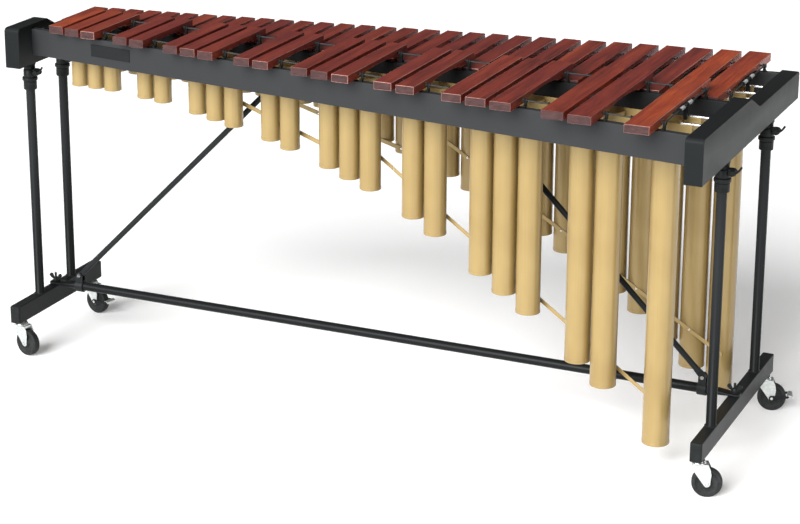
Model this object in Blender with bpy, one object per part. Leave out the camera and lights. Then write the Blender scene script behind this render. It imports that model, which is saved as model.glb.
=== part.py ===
"""Concert marimba: a large xylophone with tube resonators on a wheeled stand.

Metres, +Z up. X runs along the rows of bars, with the long, low bars at +X. The
audience is on the -Y side and the player on the +Y side. The origin is on the
floor under the middle of the instrument's overall box. The layout below is laid
out from the stretcher's middle, and place() moves each piece by MIDDLE.
"""

import math

import bmesh
import bpy
from mathutils import Matrix, Vector

# Clearance between touching pieces.
GAP = 0.0003

# Middle of the overall box, in the coordinates of the layout.
MIDDLE = Vector((0.0293, 0.0346, 0.0))

# End boards: overall length, thickness and their stepped outline.
HALF_LENGTH = 1.040
BOARD_THICKNESS = 0.046
BOARD_BOTTOM = 0.840
BOARD_HIGH_TOP = 0.9535
BOARD_LOW_TOP = 0.9145
BOARD_CORNER = 0.012
INNER_X = HALF_LENGTH - BOARD_THICKNESS
# Near end, start and end of the step, and far end, along Y.
BOARD_OUTLINE_Y = {
    "left": (-0.162, -0.012, 0.060, 0.185),
    "right": (-0.4345, -0.036, 0.049, 0.4345),
}

# Bars.
BAR_THICKNESS = 0.021
NATURAL_TOP = 0.937
ACCIDENTAL_TOP = 0.968
NATURAL_COUNT = 31
NOTE_CYCLE = "CBAGFED"
FIRST_NATURAL_X = -0.968
OCTAVE_NATURALS = 7
OCTAVE_ACCIDENTALS = 5
CORD_RADIUS = 0.002
# How far a cord runs past the outermost bar of its row.
CORD_OVERHANG = 0.010

# Rails: thickness, bottom and top.
NEAR_RAIL = (0.020, 0.872, 0.941)
INNER_RAIL = (0.016, 0.883, 0.933)
PLAYER_INNER_RAIL = (0.016, 0.860, 0.905)
PLAYER_RAIL = (0.016, 0.850, 0.9105)
POST_WIDTH = 0.006
POST_ROOT = 0.010

# Blank plate on the near rail: ends along X, middle height, thickness and height.
PLATE_ENDS = (-0.784, -0.652)
PLATE_Z = 0.9085
PLATE_THICKNESS = 0.002
PLATE_HEIGHT = 0.034

# Resonators: wall, sides of a tube, and the side strips that carry the tubes.
TUBE_WALL = 0.0015
TUBE_SIDES = 10
STRIP_THICKNESS = 0.003
STRIP_HEIGHT = 0.032
STRIP_BITE = 0.001
NEAR_BANK_TOP = 0.924
FAR_BANK_TOP = 0.900
SLANT_HEIGHT = 0.012
PIN_RADIUS = 0.003
PIN_LIFT = 0.0015
PIN_BITE = 0.030
# The banks are in two halves each: the first place of a low half.
NEAR_LOW_START = 19
FAR_LOW_START = 19
# X where the strips of each half begin and end.
STRIP_SPANS = {
    "accidental_high": (-0.955, 0.104),
    "accidental_low": (0.106, 0.950),
    "natural_high": (-0.985, 0.0465),
    "natural_low": (0.0475, 0.960),
}
# Slanting strips that tie the tubes' lower ends: (x, z) of both ends of each run.
SLANTS = {
    "accidental_high": (((-0.400, 0.799), (-0.050, 0.687)), ((0.030, 0.720), (0.104, 0.671))),
    "accidental_low": (((0.106, 0.669), (0.900, 0.140)),),
    "natural_high": (((-0.300, 0.747), (0.0465, 0.640)),),
    "natural_low": (((0.100, 0.7147), (0.930, 0.1776)),),
}
HANGER_X = 0.098
HANGER_RADIUS = 0.003
# Tube lengths at a few places along the row, counted in naturals from the short end.
NEAR_TUBE_LENGTHS = (
    (2.5, 0.148), (5.0, 0.148), (7.5, 0.159), (9.5, 0.175), (13.5, 0.217), (16.5, 0.266),
    (18.5, 0.308), (20.5, 0.364), (21.5, 0.401), (25.5, 0.567), (28.5, 0.724), (30.5, 0.850),
)
FAR_TUBE_LENGTHS = (
    (1, 0.112), (7, 0.127), (11, 0.145), (14, 0.160), (17, 0.240), (20, 0.318),
    (21, 0.351), (24, 0.454), (25, 0.495), (28, 0.640), (30, 0.775), (31, 0.828),
)

# Stand.
LEG_X = 1.021
LEG_Y = {"left": (-0.073, 0.0965), "right": (-0.196, 0.201)}
FOOT_Y = {"left": (-0.206, 0.242), "right": (-0.323, 0.344)}
FOOT_WIDTH = 0.031
FOOT_BOTTOM = 0.100
FOOT_TOP = 0.151
LEG_RADIUS = 0.013
LEG_BORE = 0.0110
LEG_TOP = 0.785
INNER_POST_RADIUS = 0.0098
INNER_POST_BOTTOM = 0.500
COLLAR_BOTTOM = 0.7605
COLLAR_TOP = 0.8185
LUG_X = 0.026
LUG_Z = 0.8115

# Stretcher and diagonal braces.
BRACE_Y = 0.0142
STRETCHER_Z = 0.1565
STRETCHER_RADIUS = 0.0127
STRETCHER_HALF = 0.957
TONGUE_TOP = 0.1593
TONGUE_ROOT = 0.010
TONGUE_HALF_WIDTH = 0.012
BRACE_RADIUS = 0.007
BRACE_FOOT = Vector((0.936, BRACE_Y, 0.1890))
BRACE_HEAD = Vector((0.264, BRACE_Y, 0.8620))

# Casters.
CASTER_INSET = 0.033
CASTER_TRAIL = 0.022
CHEEK_END = 0.0080
WHEEL_RADIUS = 0.0383
WHEEL_SIDES = 20
AXLE_RADIUS = 0.004
AXLE_HALF = 0.0195
AXLE_PLAY = 0.0006
PEDAL_TILT = math.radians(8)
CASTER_TURN = {"left": math.radians(-12), "right": math.radians(16)}

SIDES = ("left", "right")
SIGN = {"left": -1, "right": 1}


# ---------------------------------------------------------------- layout


def natural_x(place):
    """Middle of a natural bar, or of an accidental at a half place, counted from the short end."""
    steps = place - 1
    growth = steps * (steps - 1)
    return FIRST_NATURAL_X + 0.0553 * steps + growth * (0.0000495 + 0.000007 * (steps - 0.5))


def natural_places():
    return list(range(1, NATURAL_COUNT + 1))


def accidental_places():
    """Half places of the accidentals: none stands between C and B or between F and E."""
    places = []
    for place in range(1, NATURAL_COUNT):
        note = NOTE_CYCLE[(place - 1) % len(NOTE_CYCLE)]
        if note not in "CF":
            places.append(place + 0.5)
    return places


def natural_width(x):
    return 0.0450 + 0.0085 * x + 0.0075 * x * x


def accidental_width(x):
    return 0.0463 + 0.0112 * x + 0.0080 * x * x


def near_cord_y(x):
    return -0.2165 - 0.139 * x


def inner_cord_y(x):
    return 0.0163 - 0.028 * x


def player_inner_cord_y(x):
    return 0.090


def player_cord_y(x):
    return 0.2865 + 0.122 * x


def near_rail_y(x):
    """Middle of the near rail, a little in front of its cord."""
    return near_cord_y(x) - 0.008


def player_rail_y(x):
    """Middle of the player's rail, a little behind its cord."""
    return player_cord_y(x) + 0.004


def accidental_ends(x):
    return -0.2859 - 0.1639 * x, 0.0773 - 0.0156 * x


def natural_ends(x):
    return inner_cord_y(x) + 0.010, 0.3725 + 0.1435 * x


def near_bank_y(x):
    return -0.1044 - 0.0897 * x


def far_bank_y(x):
    return 0.1900 + 0.0585 * x


def between(keys, place):
    """Straight-line reading of a table of (place, value) pairs."""
    for (place_a, value_a), (place_b, value_b) in zip(keys, keys[1:]):
        if place <= place_b:
            share = (place - place_a) / (place_b - place_a)
            return value_a + (value_b - value_a) * share
    return keys[-1][1]


# ---------------------------------------------------------------- building blocks


def material(name, colour, roughness, metallic):
    made = bpy.data.materials.new(name)
    made.use_nodes = True
    shader = made.node_tree.nodes["Principled BSDF"]
    shader.inputs["Base Color"].default_value = (*colour, 1.0)
    shader.inputs["Roughness"].default_value = roughness
    shader.inputs["Metallic"].default_value = metallic
    return made


def to_mesh(bm, name):
    bmesh.ops.recalc_face_normals(bm, faces=bm.faces)
    mesh = bpy.data.meshes.new(name)
    bm.to_mesh(mesh)
    bm.free()
    return mesh


def place(name, mesh, look, location=(0, 0, 0), turn=0.0, smooth=False):
    """Put a mesh into the scene as one named piece, with its origin at location."""
    if smooth:
        mesh.shade_smooth()
        mesh.set_sharp_from_angle(angle=math.radians(40))
    if not mesh.materials:
        mesh.materials.append(look)
    piece = bpy.data.objects.new(name, mesh)
    piece.location = Vector(location) - MIDDLE
    piece.rotation_euler = (0, 0, turn)
    bpy.context.collection.objects.link(piece)
    return piece


def combine(base, tool, operation="UNION"):
    """One bmesh from two by an exact Boolean; both inputs are used up."""
    target = bpy.data.objects.new("target", to_mesh(base, "target"))
    cutter = bpy.data.objects.new("cutter", to_mesh(tool, "cutter"))
    for helper in (target, cutter):
        bpy.context.collection.objects.link(helper)
    boolean = target.modifiers.new("combine", "BOOLEAN")
    boolean.operation = operation
    boolean.solver = "EXACT"
    boolean.object = cutter
    result = bmesh.new()
    result.from_object(target, bpy.context.evaluated_depsgraph_get())
    for helper in (target, cutter):
        spent = helper.data
        bpy.data.objects.remove(helper)
        bpy.data.meshes.remove(spent)
    return result


def add_box(bm, low, high):
    """Box between two opposite corners."""
    size = [b - a for a, b in zip(low, high)]
    middle = [(a + b) / 2 for a, b in zip(low, high)]
    matrix = Matrix.Translation(middle) @ Matrix.Diagonal((*size, 1))
    bmesh.ops.create_cube(bm, size=1.0, matrix=matrix)
    return bm


def add_prism(bm, outline, to_point, low, high):
    """Closed prism: to_point(u, v, w) places the outline's (u, v) at depth w."""
    ends = [[bm.verts.new(to_point(u, v, w)) for u, v in outline] for w in (low, high)]
    count = len(outline)
    bm.faces.new(list(reversed(ends[0])))
    bm.faces.new(ends[1])
    for i in range(count):
        j = (i + 1) % count
        bm.faces.new((ends[0][i], ends[0][j], ends[1][j], ends[1][i]))
    return bm


def xz_plate(u, v, w):
    """Outline in X and Z, thickness along Y."""
    return u, w, v


def yz_plate(u, v, w):
    """Outline in Y and Z, thickness along X."""
    return w, u, v


def add_beam(bm, start, end, width, height):
    """Straight bar with upright end faces between two points on its centre line."""
    half_w = width / 2
    half_h = height / 2
    corners = ((-half_w, -half_h), (half_w, -half_h), (half_w, half_h), (-half_w, half_h))
    start = Vector(start)
    end = Vector(end)

    def to_point(u, v, w):
        return start.lerp(end, w) + Vector((0, u, v))

    return add_prism(bm, corners, to_point, 0.0, 1.0)


def add_lathe(bm, profile, axis="Z", centre=(0, 0, 0), sides=10, phase=0.0):
    """Turned solid from a closed (radius, height) profile; a radius of 0 is a point on the axis."""
    turn = {
        "Z": Matrix.Identity(3),
        "Y": Matrix.Rotation(math.radians(-90), 3, "X"),
        "X": Matrix.Rotation(math.radians(90), 3, "Y"),
    }[axis]
    centre = Vector(centre)
    rings = []
    for radius, height in profile:
        if radius == 0:
            rings.append([bm.verts.new(centre + turn @ Vector((0, 0, height)))])
            continue
        ring = []
        for step in range(sides):
            angle = phase + 2 * math.pi * step / sides
            spot = Vector((radius * math.cos(angle), radius * math.sin(angle), height))
            ring.append(bm.verts.new(centre + turn @ spot))
        rings.append(ring)
    on_axis = len(rings[0]) == 1
    pairs = list(zip(rings, rings[1:])) + ([] if on_axis else [(rings[-1], rings[0])])
    for lower, upper in pairs:
        for i in range(sides):
            j = (i + 1) % sides
            if len(lower) == 1:
                bm.faces.new((lower[0], upper[i], upper[j]))
            elif len(upper) == 1:
                bm.faces.new((lower[i], lower[j], upper[0]))
            else:
                bm.faces.new((lower[i], lower[j], upper[j], upper[i]))
    return bm


def add_disc(bm, radius, low, high, axis="Z", centre=(0, 0, 0), sides=10, phase=0.0):
    """Plain cylinder as a turned solid with flat ends."""
    profile = ((0, low), (radius, low), (radius, high), (0, high))
    return add_lathe(bm, profile, axis, centre, sides, phase)


def add_rod(bm, points, radius, sides=6):
    """Round rod swept along a polyline, with mitred corners and capped ends."""
    points = [Vector(point) for point in points]
    runs = [(b - a).normalized() for a, b in zip(points, points[1:])]
    helper = Vector((0, 0, 1)) if abs(runs[0].z) < 0.9 else Vector((1, 0, 0))
    side = runs[0].cross(helper).normalized()
    rings = []
    for i, point in enumerate(points):
        before = runs[max(i - 1, 0)]
        after = runs[min(i, len(runs) - 1)]
        mitre = (before + after).normalized()
        up = before.cross(side)
        ring = []
        for step in range(sides):
            angle = 2 * math.pi * (step + 0.5) / sides
            offset = side * (radius * math.cos(angle)) + up * (radius * math.sin(angle))
            offset -= before * (offset.dot(mitre) / before.dot(mitre))
            ring.append(bm.verts.new(point + offset))
        rings.append(ring)
        side = before.rotation_difference(after) @ side
    for lower, upper in zip(rings, rings[1:]):
        for i in range(sides):
            j = (i + 1) % sides
            bm.faces.new((lower[i], lower[j], upper[j], upper[i]))
    bm.faces.new(list(reversed(rings[0])))
    bm.faces.new(rings[-1])
    return bm


def arc(centre_u, centre_v, radius, start, end, steps):
    """Points on an arc, angles in degrees."""
    points = []
    for step in range(steps + 1):
        angle = math.radians(start + (end - start) * step / steps)
        points.append((centre_u + radius * math.cos(angle), centre_v + radius * math.sin(angle)))
    return points


# ---------------------------------------------------------------- end boards and rails


def end_board(side, look):
    near, step_start, step_end, far = BOARD_OUTLINE_Y[side]
    corner = BOARD_CORNER
    small = BOARD_CORNER / 2
    outline = [(far, BOARD_BOTTOM)]
    outline += arc(far - small, BOARD_LOW_TOP - small, small, 0, 90, 2)
    outline += [(step_end, BOARD_LOW_TOP), (step_start, BOARD_HIGH_TOP)]
    outline += arc(near + corner, BOARD_HIGH_TOP - corner, corner, 90, 180, 4)
    outline += [(near, BOARD_BOTTOM)]
    faces = sorted((SIGN[side] * INNER_X, SIGN[side] * HALF_LENGTH))
    bm = add_prism(bmesh.new(), outline, yz_plate, *faces)
    place(f"end_board_{side}", to_mesh(bm, f"end_board_{side}"), look)


def beside(bar, width_at, sign):
    """X just past a bar's side."""
    middle = natural_x(bar)
    return middle + sign * (width_at(middle) / 2 + CORD_OVERHANG)


def post_places(places, width_at):
    """X of the cord posts: one between neighbouring bars, two in a wide gap, one past the last bar."""
    spots = []
    for a, b in zip(places, places[1:]):
        if b - a < 1.5:
            spots.append(natural_x((a + b) / 2))
        else:
            spots += [beside(a, width_at, 1), beside(b, width_at, -1)]
    return spots + [beside(places[-1], width_at, 1)]


def rail(name, rail_y, size, posts, cord_y, cord_z, look):
    """Straight rail between the end boards, with its cord posts standing on it."""
    thickness, bottom, top = size
    reach = INNER_X - GAP
    middle = (bottom + top) / 2
    start, end = ((x, rail_y(x), middle) for x in (-reach, reach))
    body = add_beam(bmesh.new(), start, end, thickness, top - bottom)
    crown = bmesh.new()
    half = POST_WIDTH / 2
    for x in posts:
        y = cord_y(x)
        low = (x - half, y - half, top - POST_ROOT)
        high = (x + half, y + half, cord_z - CORD_RADIUS - GAP)
        add_box(crown, low, high)
    place(name, to_mesh(combine(body, crown), name), look)


def rails(look):
    posts = post_places(accidental_places(), accidental_width)
    height = ACCIDENTAL_TOP - BAR_THICKNESS / 2
    rail("rail_audience", near_rail_y, NEAR_RAIL, posts, near_cord_y, height, look)
    rail("rail_accidental_inner", inner_cord_y, INNER_RAIL, posts, inner_cord_y, height, look)
    posts = post_places(natural_places(), natural_width)
    height = NATURAL_TOP - BAR_THICKNESS / 2
    inner_y = player_inner_cord_y
    rail("rail_natural_inner", inner_y, PLAYER_INNER_RAIL, posts, inner_y, height, look)
    rail("rail_player", player_rail_y, PLAYER_RAIL, posts, player_cord_y, height, look)


def name_plate(look):
    """Small blank plate on the front of the near rail."""
    front = NEAR_RAIL[0] / 2 + GAP + PLATE_THICKNESS / 2
    start, end = ((x, near_rail_y(x) - front, PLATE_Z) for x in PLATE_ENDS)
    bm = add_beam(bmesh.new(), start, end, PLATE_THICKNESS, PLATE_HEIGHT)
    place("name_plate", to_mesh(bm, "name_plate"), look)


# ---------------------------------------------------------------- bars


def bar_outline(near, far, top, depth):
    """Side view of a bar, with its tuning arch underneath."""
    bottom = top - BAR_THICKNESS
    length = far - near
    outline = [(near, bottom), (near, top), (far, top), (far, bottom)]
    for share, rise in ((0.74, 0), (0.62, depth), (0.38, depth), (0.26, 0)):
        outline.append((near + length * share, bottom + rise))
    return outline


def bars(name, places, row, from_x, to_x, turn_back, look):
    """A stretch of one row of bars, strung on its pair of cords."""
    width_at, ends_at, top, cord_lines = row
    timber = bmesh.new()
    for bar in places:
        x = natural_x(bar)
        half = width_at(x) / 2
        near, far = ends_at(x)
        depth = 0.008 + 0.004 * x
        add_prism(timber, bar_outline(near, far, top, depth), yz_plate, x - half, x + half)
    height = top - BAR_THICKNESS / 2
    starts = [(from_x, line(from_x), height) for line in cord_lines]
    ends = [(to_x, line(to_x), height) for line in cord_lines]
    cords = bmesh.new()
    if turn_back:
        add_rod(cords, (starts[0], ends[0], ends[1], starts[1]), CORD_RADIUS, sides=4)
    else:
        for start, end in zip(starts, ends):
            add_rod(cords, (start, end), CORD_RADIUS, sides=4)
    place(name, to_mesh(combine(timber, cords), name), look)


def bar_row(stem, places, octave, row, look):
    """One row of bars, an octave to a piece; its two cords are joined past the last bar."""
    width_at = row[0]
    groups = [places[i:i + octave] for i in range(0, len(places), octave)]
    from_x = max(beside(places[0], width_at, -1), -INNER_X + GAP)
    for number, group in enumerate(groups, start=1):
        is_last = number == len(groups)
        if is_last:
            to_x = beside(group[-1], width_at, 1)
        else:
            to_x = natural_x((group[-1] + groups[number][0]) / 2)
        bars(f"{stem}_{number}", group, row, from_x, to_x, is_last, look)
        from_x = to_x + GAP


def bar_rows(look):
    row = (accidental_width, accidental_ends, ACCIDENTAL_TOP, (near_cord_y, inner_cord_y))
    bar_row("accidental_bars", accidental_places(), OCTAVE_ACCIDENTALS, row, look)
    row = (natural_width, natural_ends, NATURAL_TOP, (player_inner_cord_y, player_cord_y))
    bar_row("natural_bars", natural_places(), OCTAVE_NATURALS, row, look)


# ---------------------------------------------------------------- resonators


def tube_radius(x):
    return 0.0280 + 0.0066 * x + 0.0016 * x * x


def tube(bm, x, y, top, length, turn):
    """Resonator: an upright tube, open at the top and closed at the bottom."""
    outer = tube_radius(x) / math.cos(math.pi / TUBE_SIDES)
    inner = outer - TUBE_WALL
    bottom = top - length
    floor = bottom + TUBE_WALL
    profile = ((0, bottom), (outer, bottom), (outer, top), (inner, top), (inner, floor), (0, floor))
    phase = turn + math.pi / 2 + math.pi / TUBE_SIDES
    add_lathe(bm, profile, centre=(x, y, 0), sides=TUBE_SIDES, phase=phase)


def bank(half, places, lengths, middle_y, top, slant_side, look):
    """Half of a resonator bank: tubes between two side strips, with slanting strips and hanger pins."""
    low_x, high_x = STRIP_SPANS[half]
    slope = middle_y(1.0) - middle_y(0.0)
    tubes = bmesh.new()
    for spot in places:
        x = natural_x(spot)
        tube(tubes, x, middle_y(x), top, between(lengths, spot), math.atan(slope))

    def strip_y(x, side):
        return middle_y(x) + side * (tube_radius(x) - STRIP_BITE + STRIP_THICKNESS / 2)

    strips = bmesh.new()
    pins = bmesh.new()
    is_low = half.endswith("low")
    inside = high_x - PIN_BITE if is_low else low_x + PIN_BITE
    outside = INNER_X - GAP if is_low else GAP - INNER_X
    for side in (-1, 1):
        start, end = ((x, strip_y(x, side), top - STRIP_HEIGHT / 2) for x in (low_x, high_x))
        add_beam(strips, start, end, STRIP_THICKNESS, STRIP_HEIGHT)
        start, end = ((x, strip_y(inside, side), top + PIN_LIFT) for x in (inside, outside))
        add_rod(pins, (start, end), PIN_RADIUS)
    for run in SLANTS[half]:
        start, end = ((x, strip_y(x, slant_side), z) for x, z in run)
        add_beam(strips, start, end, STRIP_THICKNESS, SLANT_HEIGHT)
    name = f"resonators_{half}"
    place(name, to_mesh(combine(combine(strips, tubes), pins), name), look, smooth=True)


def row_banks(kind, places, low_start, lengths, middle_y, top, slant_side, look):
    """Both halves of a row's bank."""
    for half in ("high", "low"):
        spots = [spot for spot in places if (spot >= low_start) == (half == "low")]
        bank(f"{kind}_{half}", spots, lengths, middle_y, top, slant_side, look)


def banks(look):
    near_row = (NEAR_TUBE_LENGTHS, near_bank_y, NEAR_BANK_TOP, 1)
    far_row = (FAR_TUBE_LENGTHS, far_bank_y, FAR_BANK_TOP, -1)
    row_banks("accidental", accidental_places(), NEAR_LOW_START, *near_row, look)
    row_banks("natural", natural_places(), FAR_LOW_START, *far_row, look)


def centre_hanger(look):
    """Bent rod from the inner rail that carries the banks where their halves meet."""
    x = HANGER_X
    front = inner_cord_y(x) - INNER_RAIL[0] / 2 - GAP
    rest = NEAR_BANK_TOP + GAP + HANGER_RADIUS
    route = (
        (x, front, 0.912), (x, front - 0.012, 0.912), (x, front - 0.030, 0.926),
        (x, -0.055, rest + 0.006), (x, -0.088, rest),
    )
    bm = add_rod(bmesh.new(), route, HANGER_RADIUS, sides=8)
    place("centre_hanger", to_mesh(bm, "centre_hanger"), look, smooth=True)


# ---------------------------------------------------------------- legs


def foot_beam(side, look):
    x = SIGN[side] * LEG_X
    half = FOOT_WIDTH / 2
    near, far = FOOT_Y[side]
    bm = add_box(bmesh.new(), (x - half, near, FOOT_BOTTOM), (x + half, far, FOOT_TOP))
    beam = place(f"foot_beam_{side}", to_mesh(bm, f"foot_beam_{side}"), look)
    bevel = beam.modifiers.new("edges", "BEVEL")
    bevel.width = 0.002
    bevel.segments = 1


def leg_post_mesh():
    low = FOOT_TOP + GAP
    profile = ((LEG_BORE, low), (LEG_RADIUS, low), (LEG_RADIUS, LEG_TOP), (LEG_BORE, LEG_TOP))
    return to_mesh(add_lathe(bmesh.new(), profile), "leg_post")


def collar_mesh():
    """Clamp collar: sleeve over the leg, ring, and a lugged clamp round the sliding post."""
    sleeve = 0.0186
    ring = 0.0216
    bore = LEG_RADIUS + 0.0008
    clamp_bore = INNER_POST_RADIUS + 0.0009
    profile = (
        (bore, COLLAR_BOTTOM), (sleeve, COLLAR_BOTTOM), (sleeve, 0.783),
        (ring, 0.786), (ring, 0.795), (sleeve - 0.001, 0.798), (sleeve - 0.001, COLLAR_TOP),
        (clamp_bore, COLLAR_TOP), (clamp_bore, LEG_TOP + GAP), (bore, LEG_TOP + GAP),
    )
    body = add_lathe(bmesh.new(), profile)
    lug = add_box(bmesh.new(), (0.0165, -0.009, LUG_Z - 0.0065), (LUG_X + 0.007, 0.009, LUG_Z + 0.0065))
    slot = add_box(bmesh.new(), (0.005, -0.0012, 0.797), (LUG_X + 0.012, 0.0012, COLLAR_TOP + 0.002))
    return to_mesh(combine(combine(body, lug), slot, "DIFFERENCE"), "post_collar")


def lever_mesh():
    """Bent clamp lever on the collar's screw; origin on the screw's axis, which lies along Y."""
    centre_line = ((0.000, 0.000), (0.010, 0.001), (0.021, 0.007), (0.031, 0.017))
    half = 0.0036
    upper = [(u - 0.35 * half, v + half) for u, v in centre_line]
    lower = [(u + 0.35 * half, v - half) for u, v in centre_line]
    outline = lower + [(0.0345, 0.0185)] + list(reversed(upper))
    arm = add_prism(bmesh.new(), outline, xz_plate, -0.0152, -0.0098)
    hub = add_disc(bmesh.new(), 0.0075, -0.0165, -0.0094, axis="Y")
    return to_mesh(combine(arm, hub), "clamp_lever")


def inner_post_mesh():
    """Sliding post with its flange under the end board."""
    flange = 0.0160
    shoulder = COLLAR_TOP + 0.001
    profile = (
        (0, INNER_POST_BOTTOM), (INNER_POST_RADIUS, INNER_POST_BOTTOM), (INNER_POST_RADIUS, shoulder),
        (flange, shoulder), (flange, BOARD_BOTTOM - GAP), (0, BOARD_BOTTOM - GAP),
    )
    return to_mesh(add_lathe(bmesh.new(), profile), "inner_post")


def legs(look):
    leg = leg_post_mesh()
    collar = collar_mesh()
    lever = lever_mesh()
    sliding = inner_post_mesh()
    for side in SIDES:
        foot_beam(side, look)
        for y, end in zip(LEG_Y[side], ("near", "far")):
            x = SIGN[side] * LEG_X
            tag = f"{side}_{end}"
            place(f"leg_post_{tag}", leg, look, (x, y, 0), smooth=True)
            place(f"post_collar_{tag}", collar, look, (x, y, 0), smooth=True)
            place(f"clamp_lever_{tag}", lever, look, (x + LUG_X, y, LUG_Z))
            place(f"inner_post_{tag}", sliding, look, (x, y, 0), smooth=True)


# ---------------------------------------------------------------- stretcher and braces


def stretcher(look):
    """Round tube along the floor between the foot beams, flattened at its ends."""
    middle = (0, BRACE_Y, STRETCHER_Z)
    body = add_disc(bmesh.new(), STRETCHER_RADIUS, -STRETCHER_HALF, STRETCHER_HALF, "X", middle)
    tongues = bmesh.new()
    tip = LEG_X + FOOT_WIDTH / 2
    root = STRETCHER_HALF - TONGUE_ROOT
    for sign in (-1, 1):
        low, high = sorted((sign * root, sign * tip))
        corner = (low, BRACE_Y - TONGUE_HALF_WIDTH, FOOT_TOP + GAP)
        add_box(tongues, corner, (high, BRACE_Y + TONGUE_HALF_WIDTH, TONGUE_TOP))
    place("stretcher", to_mesh(combine(body, tongues), "stretcher"), look, smooth=True)


def wing_knob_mesh():
    """Wing knob that clamps the stretcher's tongue; origin on its upright axis at the tongue's top."""
    profile = (
        (0, GAP), (0.0115, GAP), (0.0115, 0.002), (0.0075, 0.0035),
        (0.0065, 0.011), (0.0035, 0.012), (0.0035, 0.026), (0, 0.026),
    )
    hub = add_lathe(bmesh.new(), profile)
    wings = bmesh.new()
    for sign in (-1, 1):
        outline = [(sign * 0.003, 0.004), (sign * 0.010, 0.006)]
        outline += [(sign * u, v) for u, v in arc(0.0145, 0.0165, 0.0055, -60, 150, 5)]
        outline += [(sign * 0.006, 0.0105), (sign * 0.003, 0.0105)]
        add_prism(wings, outline, xz_plate, -0.0022, 0.0022)
    return to_mesh(combine(hub, wings), "wing_knob")


def brace_collar_mesh():
    """Collar that slides on the stretcher, with a brace's clevis; origin in the brace's pivot."""
    drop = STRETCHER_Z - BRACE_FOOT.z
    bore = STRETCHER_RADIUS + 0.0010
    ring = 0.0180
    profile = ((bore, -0.013), (ring, -0.013), (ring, 0.013), (bore, 0.013))
    body = add_lathe(bmesh.new(), profile, axis="X", centre=(0, 0, drop))
    ears = bmesh.new()
    base = drop + bore + 0.0015
    for side in (-1, 1):
        outline = [(-0.010, base), (0.010, base)] + arc(0, 0, 0.010, 0, 180, 4)
        low, high = sorted((side * 0.0063, side * 0.0103))
        add_prism(ears, outline, xz_plate, low, high)
    pin = add_disc(bmesh.new(), 0.003, -0.0125, 0.0125, axis="Y", sides=8)
    return to_mesh(combine(combine(body, ears), pin), "brace_collar")


def brace_mesh(side):
    """Diagonal tube with a flattened eye at each end; origin in its foot pivot."""
    toward = -SIGN[side]
    head = Vector((toward * (BRACE_FOOT.x - BRACE_HEAD.x), 0, BRACE_HEAD.z - BRACE_FOOT.z))
    along = head.normalized()
    across = Vector((-along.z, 0, along.x)) * 0.0060
    bm = add_rod(bmesh.new(), (along * 0.0150, head - along * 0.005), BRACE_RADIUS, sides=8)
    eyes = bmesh.new()
    add_disc(eyes, 0.0090, -0.0055, 0.0055, axis="Y")
    add_disc(eyes, 0.0090, -0.0055, 0.0055, axis="Y", centre=head)
    corners = (across, along * 0.0200 + across, along * 0.0200 - across, -across)
    tongue = add_prism(bmesh.new(), [(corner.x, corner.z) for corner in corners], xz_plate, -0.0050, 0.0050)
    hole = add_disc(bmesh.new(), 0.0037, -0.010, 0.010, axis="Y", sides=8)
    return to_mesh(combine(combine(combine(bm, eyes), tongue), hole, "DIFFERENCE"), f"brace_{side}")


def brace_bracket_mesh():
    """Clevis under the inner rail for a brace's head; origin in the head's rest place."""
    top = INNER_RAIL[1] - GAP - BRACE_HEAD.z
    plate = add_box(bmesh.new(), (-0.022, -0.022, top - 0.003), (0.022, 0.022, top))
    ears = bmesh.new()
    for side in (-1, 1):
        outline = [(0.012, top - 0.001), (-0.012, top - 0.001)] + arc(0, 0, 0.012, 180, 360, 5)
        low, high = sorted((side * 0.0095, side * 0.0125))
        add_prism(ears, outline, xz_plate, low, high)
    bolts = bmesh.new()
    for side in (-1, 1):
        low, high = sorted((side * 0.0120, side * 0.0170))
        add_disc(bolts, 0.0055, low, high, axis="Y", sides=6)
    return to_mesh(combine(combine(plate, ears), bolts), "brace_bracket")


def braces(look):
    stretcher(look)
    knob = wing_knob_mesh()
    collar = brace_collar_mesh()
    bracket = brace_bracket_mesh()
    for side in SIDES:
        sign = SIGN[side]
        foot = (sign * BRACE_FOOT.x, BRACE_FOOT.y, BRACE_FOOT.z)
        head = (sign * BRACE_HEAD.x, BRACE_HEAD.y, BRACE_HEAD.z)
        place(f"wing_knob_{side}", knob, look, (sign * LEG_X, BRACE_Y, TONGUE_TOP), smooth=True)
        place(f"brace_collar_{side}", collar, look, foot, smooth=True)
        place(f"brace_{side}", brace_mesh(side), look, foot, smooth=True)
        place(f"brace_bracket_{side}", bracket, look, head)


# ---------------------------------------------------------------- casters


def fork_mesh():
    """Swivel fork with its stem and axle; origin on the swivel axis at floor level, trailing to +X."""
    crown_top = 0.0890
    profile = (
        (0, 0.0840), (0.0160, 0.0840), (0.0190, 0.0880), (0.0175, 0.0960),
        (0.0090, 0.0960), (0.0090, FOOT_BOTTOM - GAP), (0, FOOT_BOTTOM - GAP),
    )
    cup = add_lathe(bmesh.new(), profile)
    crown = add_box(bmesh.new(), (-0.017, -0.0155, 0.0862), (0.024, 0.0155, crown_top))
    cheeks = bmesh.new()
    for side in (-1, 1):
        outline = [(-0.017, crown_top - 0.0005), (-0.013, 0.074)]
        outline += arc(CASTER_TRAIL, WHEEL_RADIUS, CHEEK_END, 205, 375, 4)
        outline += [(0.0325, 0.064), (0.0240, crown_top - 0.0005)]
        low, high = sorted((side * 0.0130, side * 0.0154))
        add_prism(cheeks, outline, xz_plate, low, high)
    hub = (CASTER_TRAIL, 0, WHEEL_RADIUS)
    axle = add_disc(bmesh.new(), AXLE_RADIUS, -AXLE_HALF, AXLE_HALF, axis="Y", centre=hub)
    return to_mesh(combine(combine(combine(cup, crown), cheeks), axle), "caster_fork")


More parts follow.
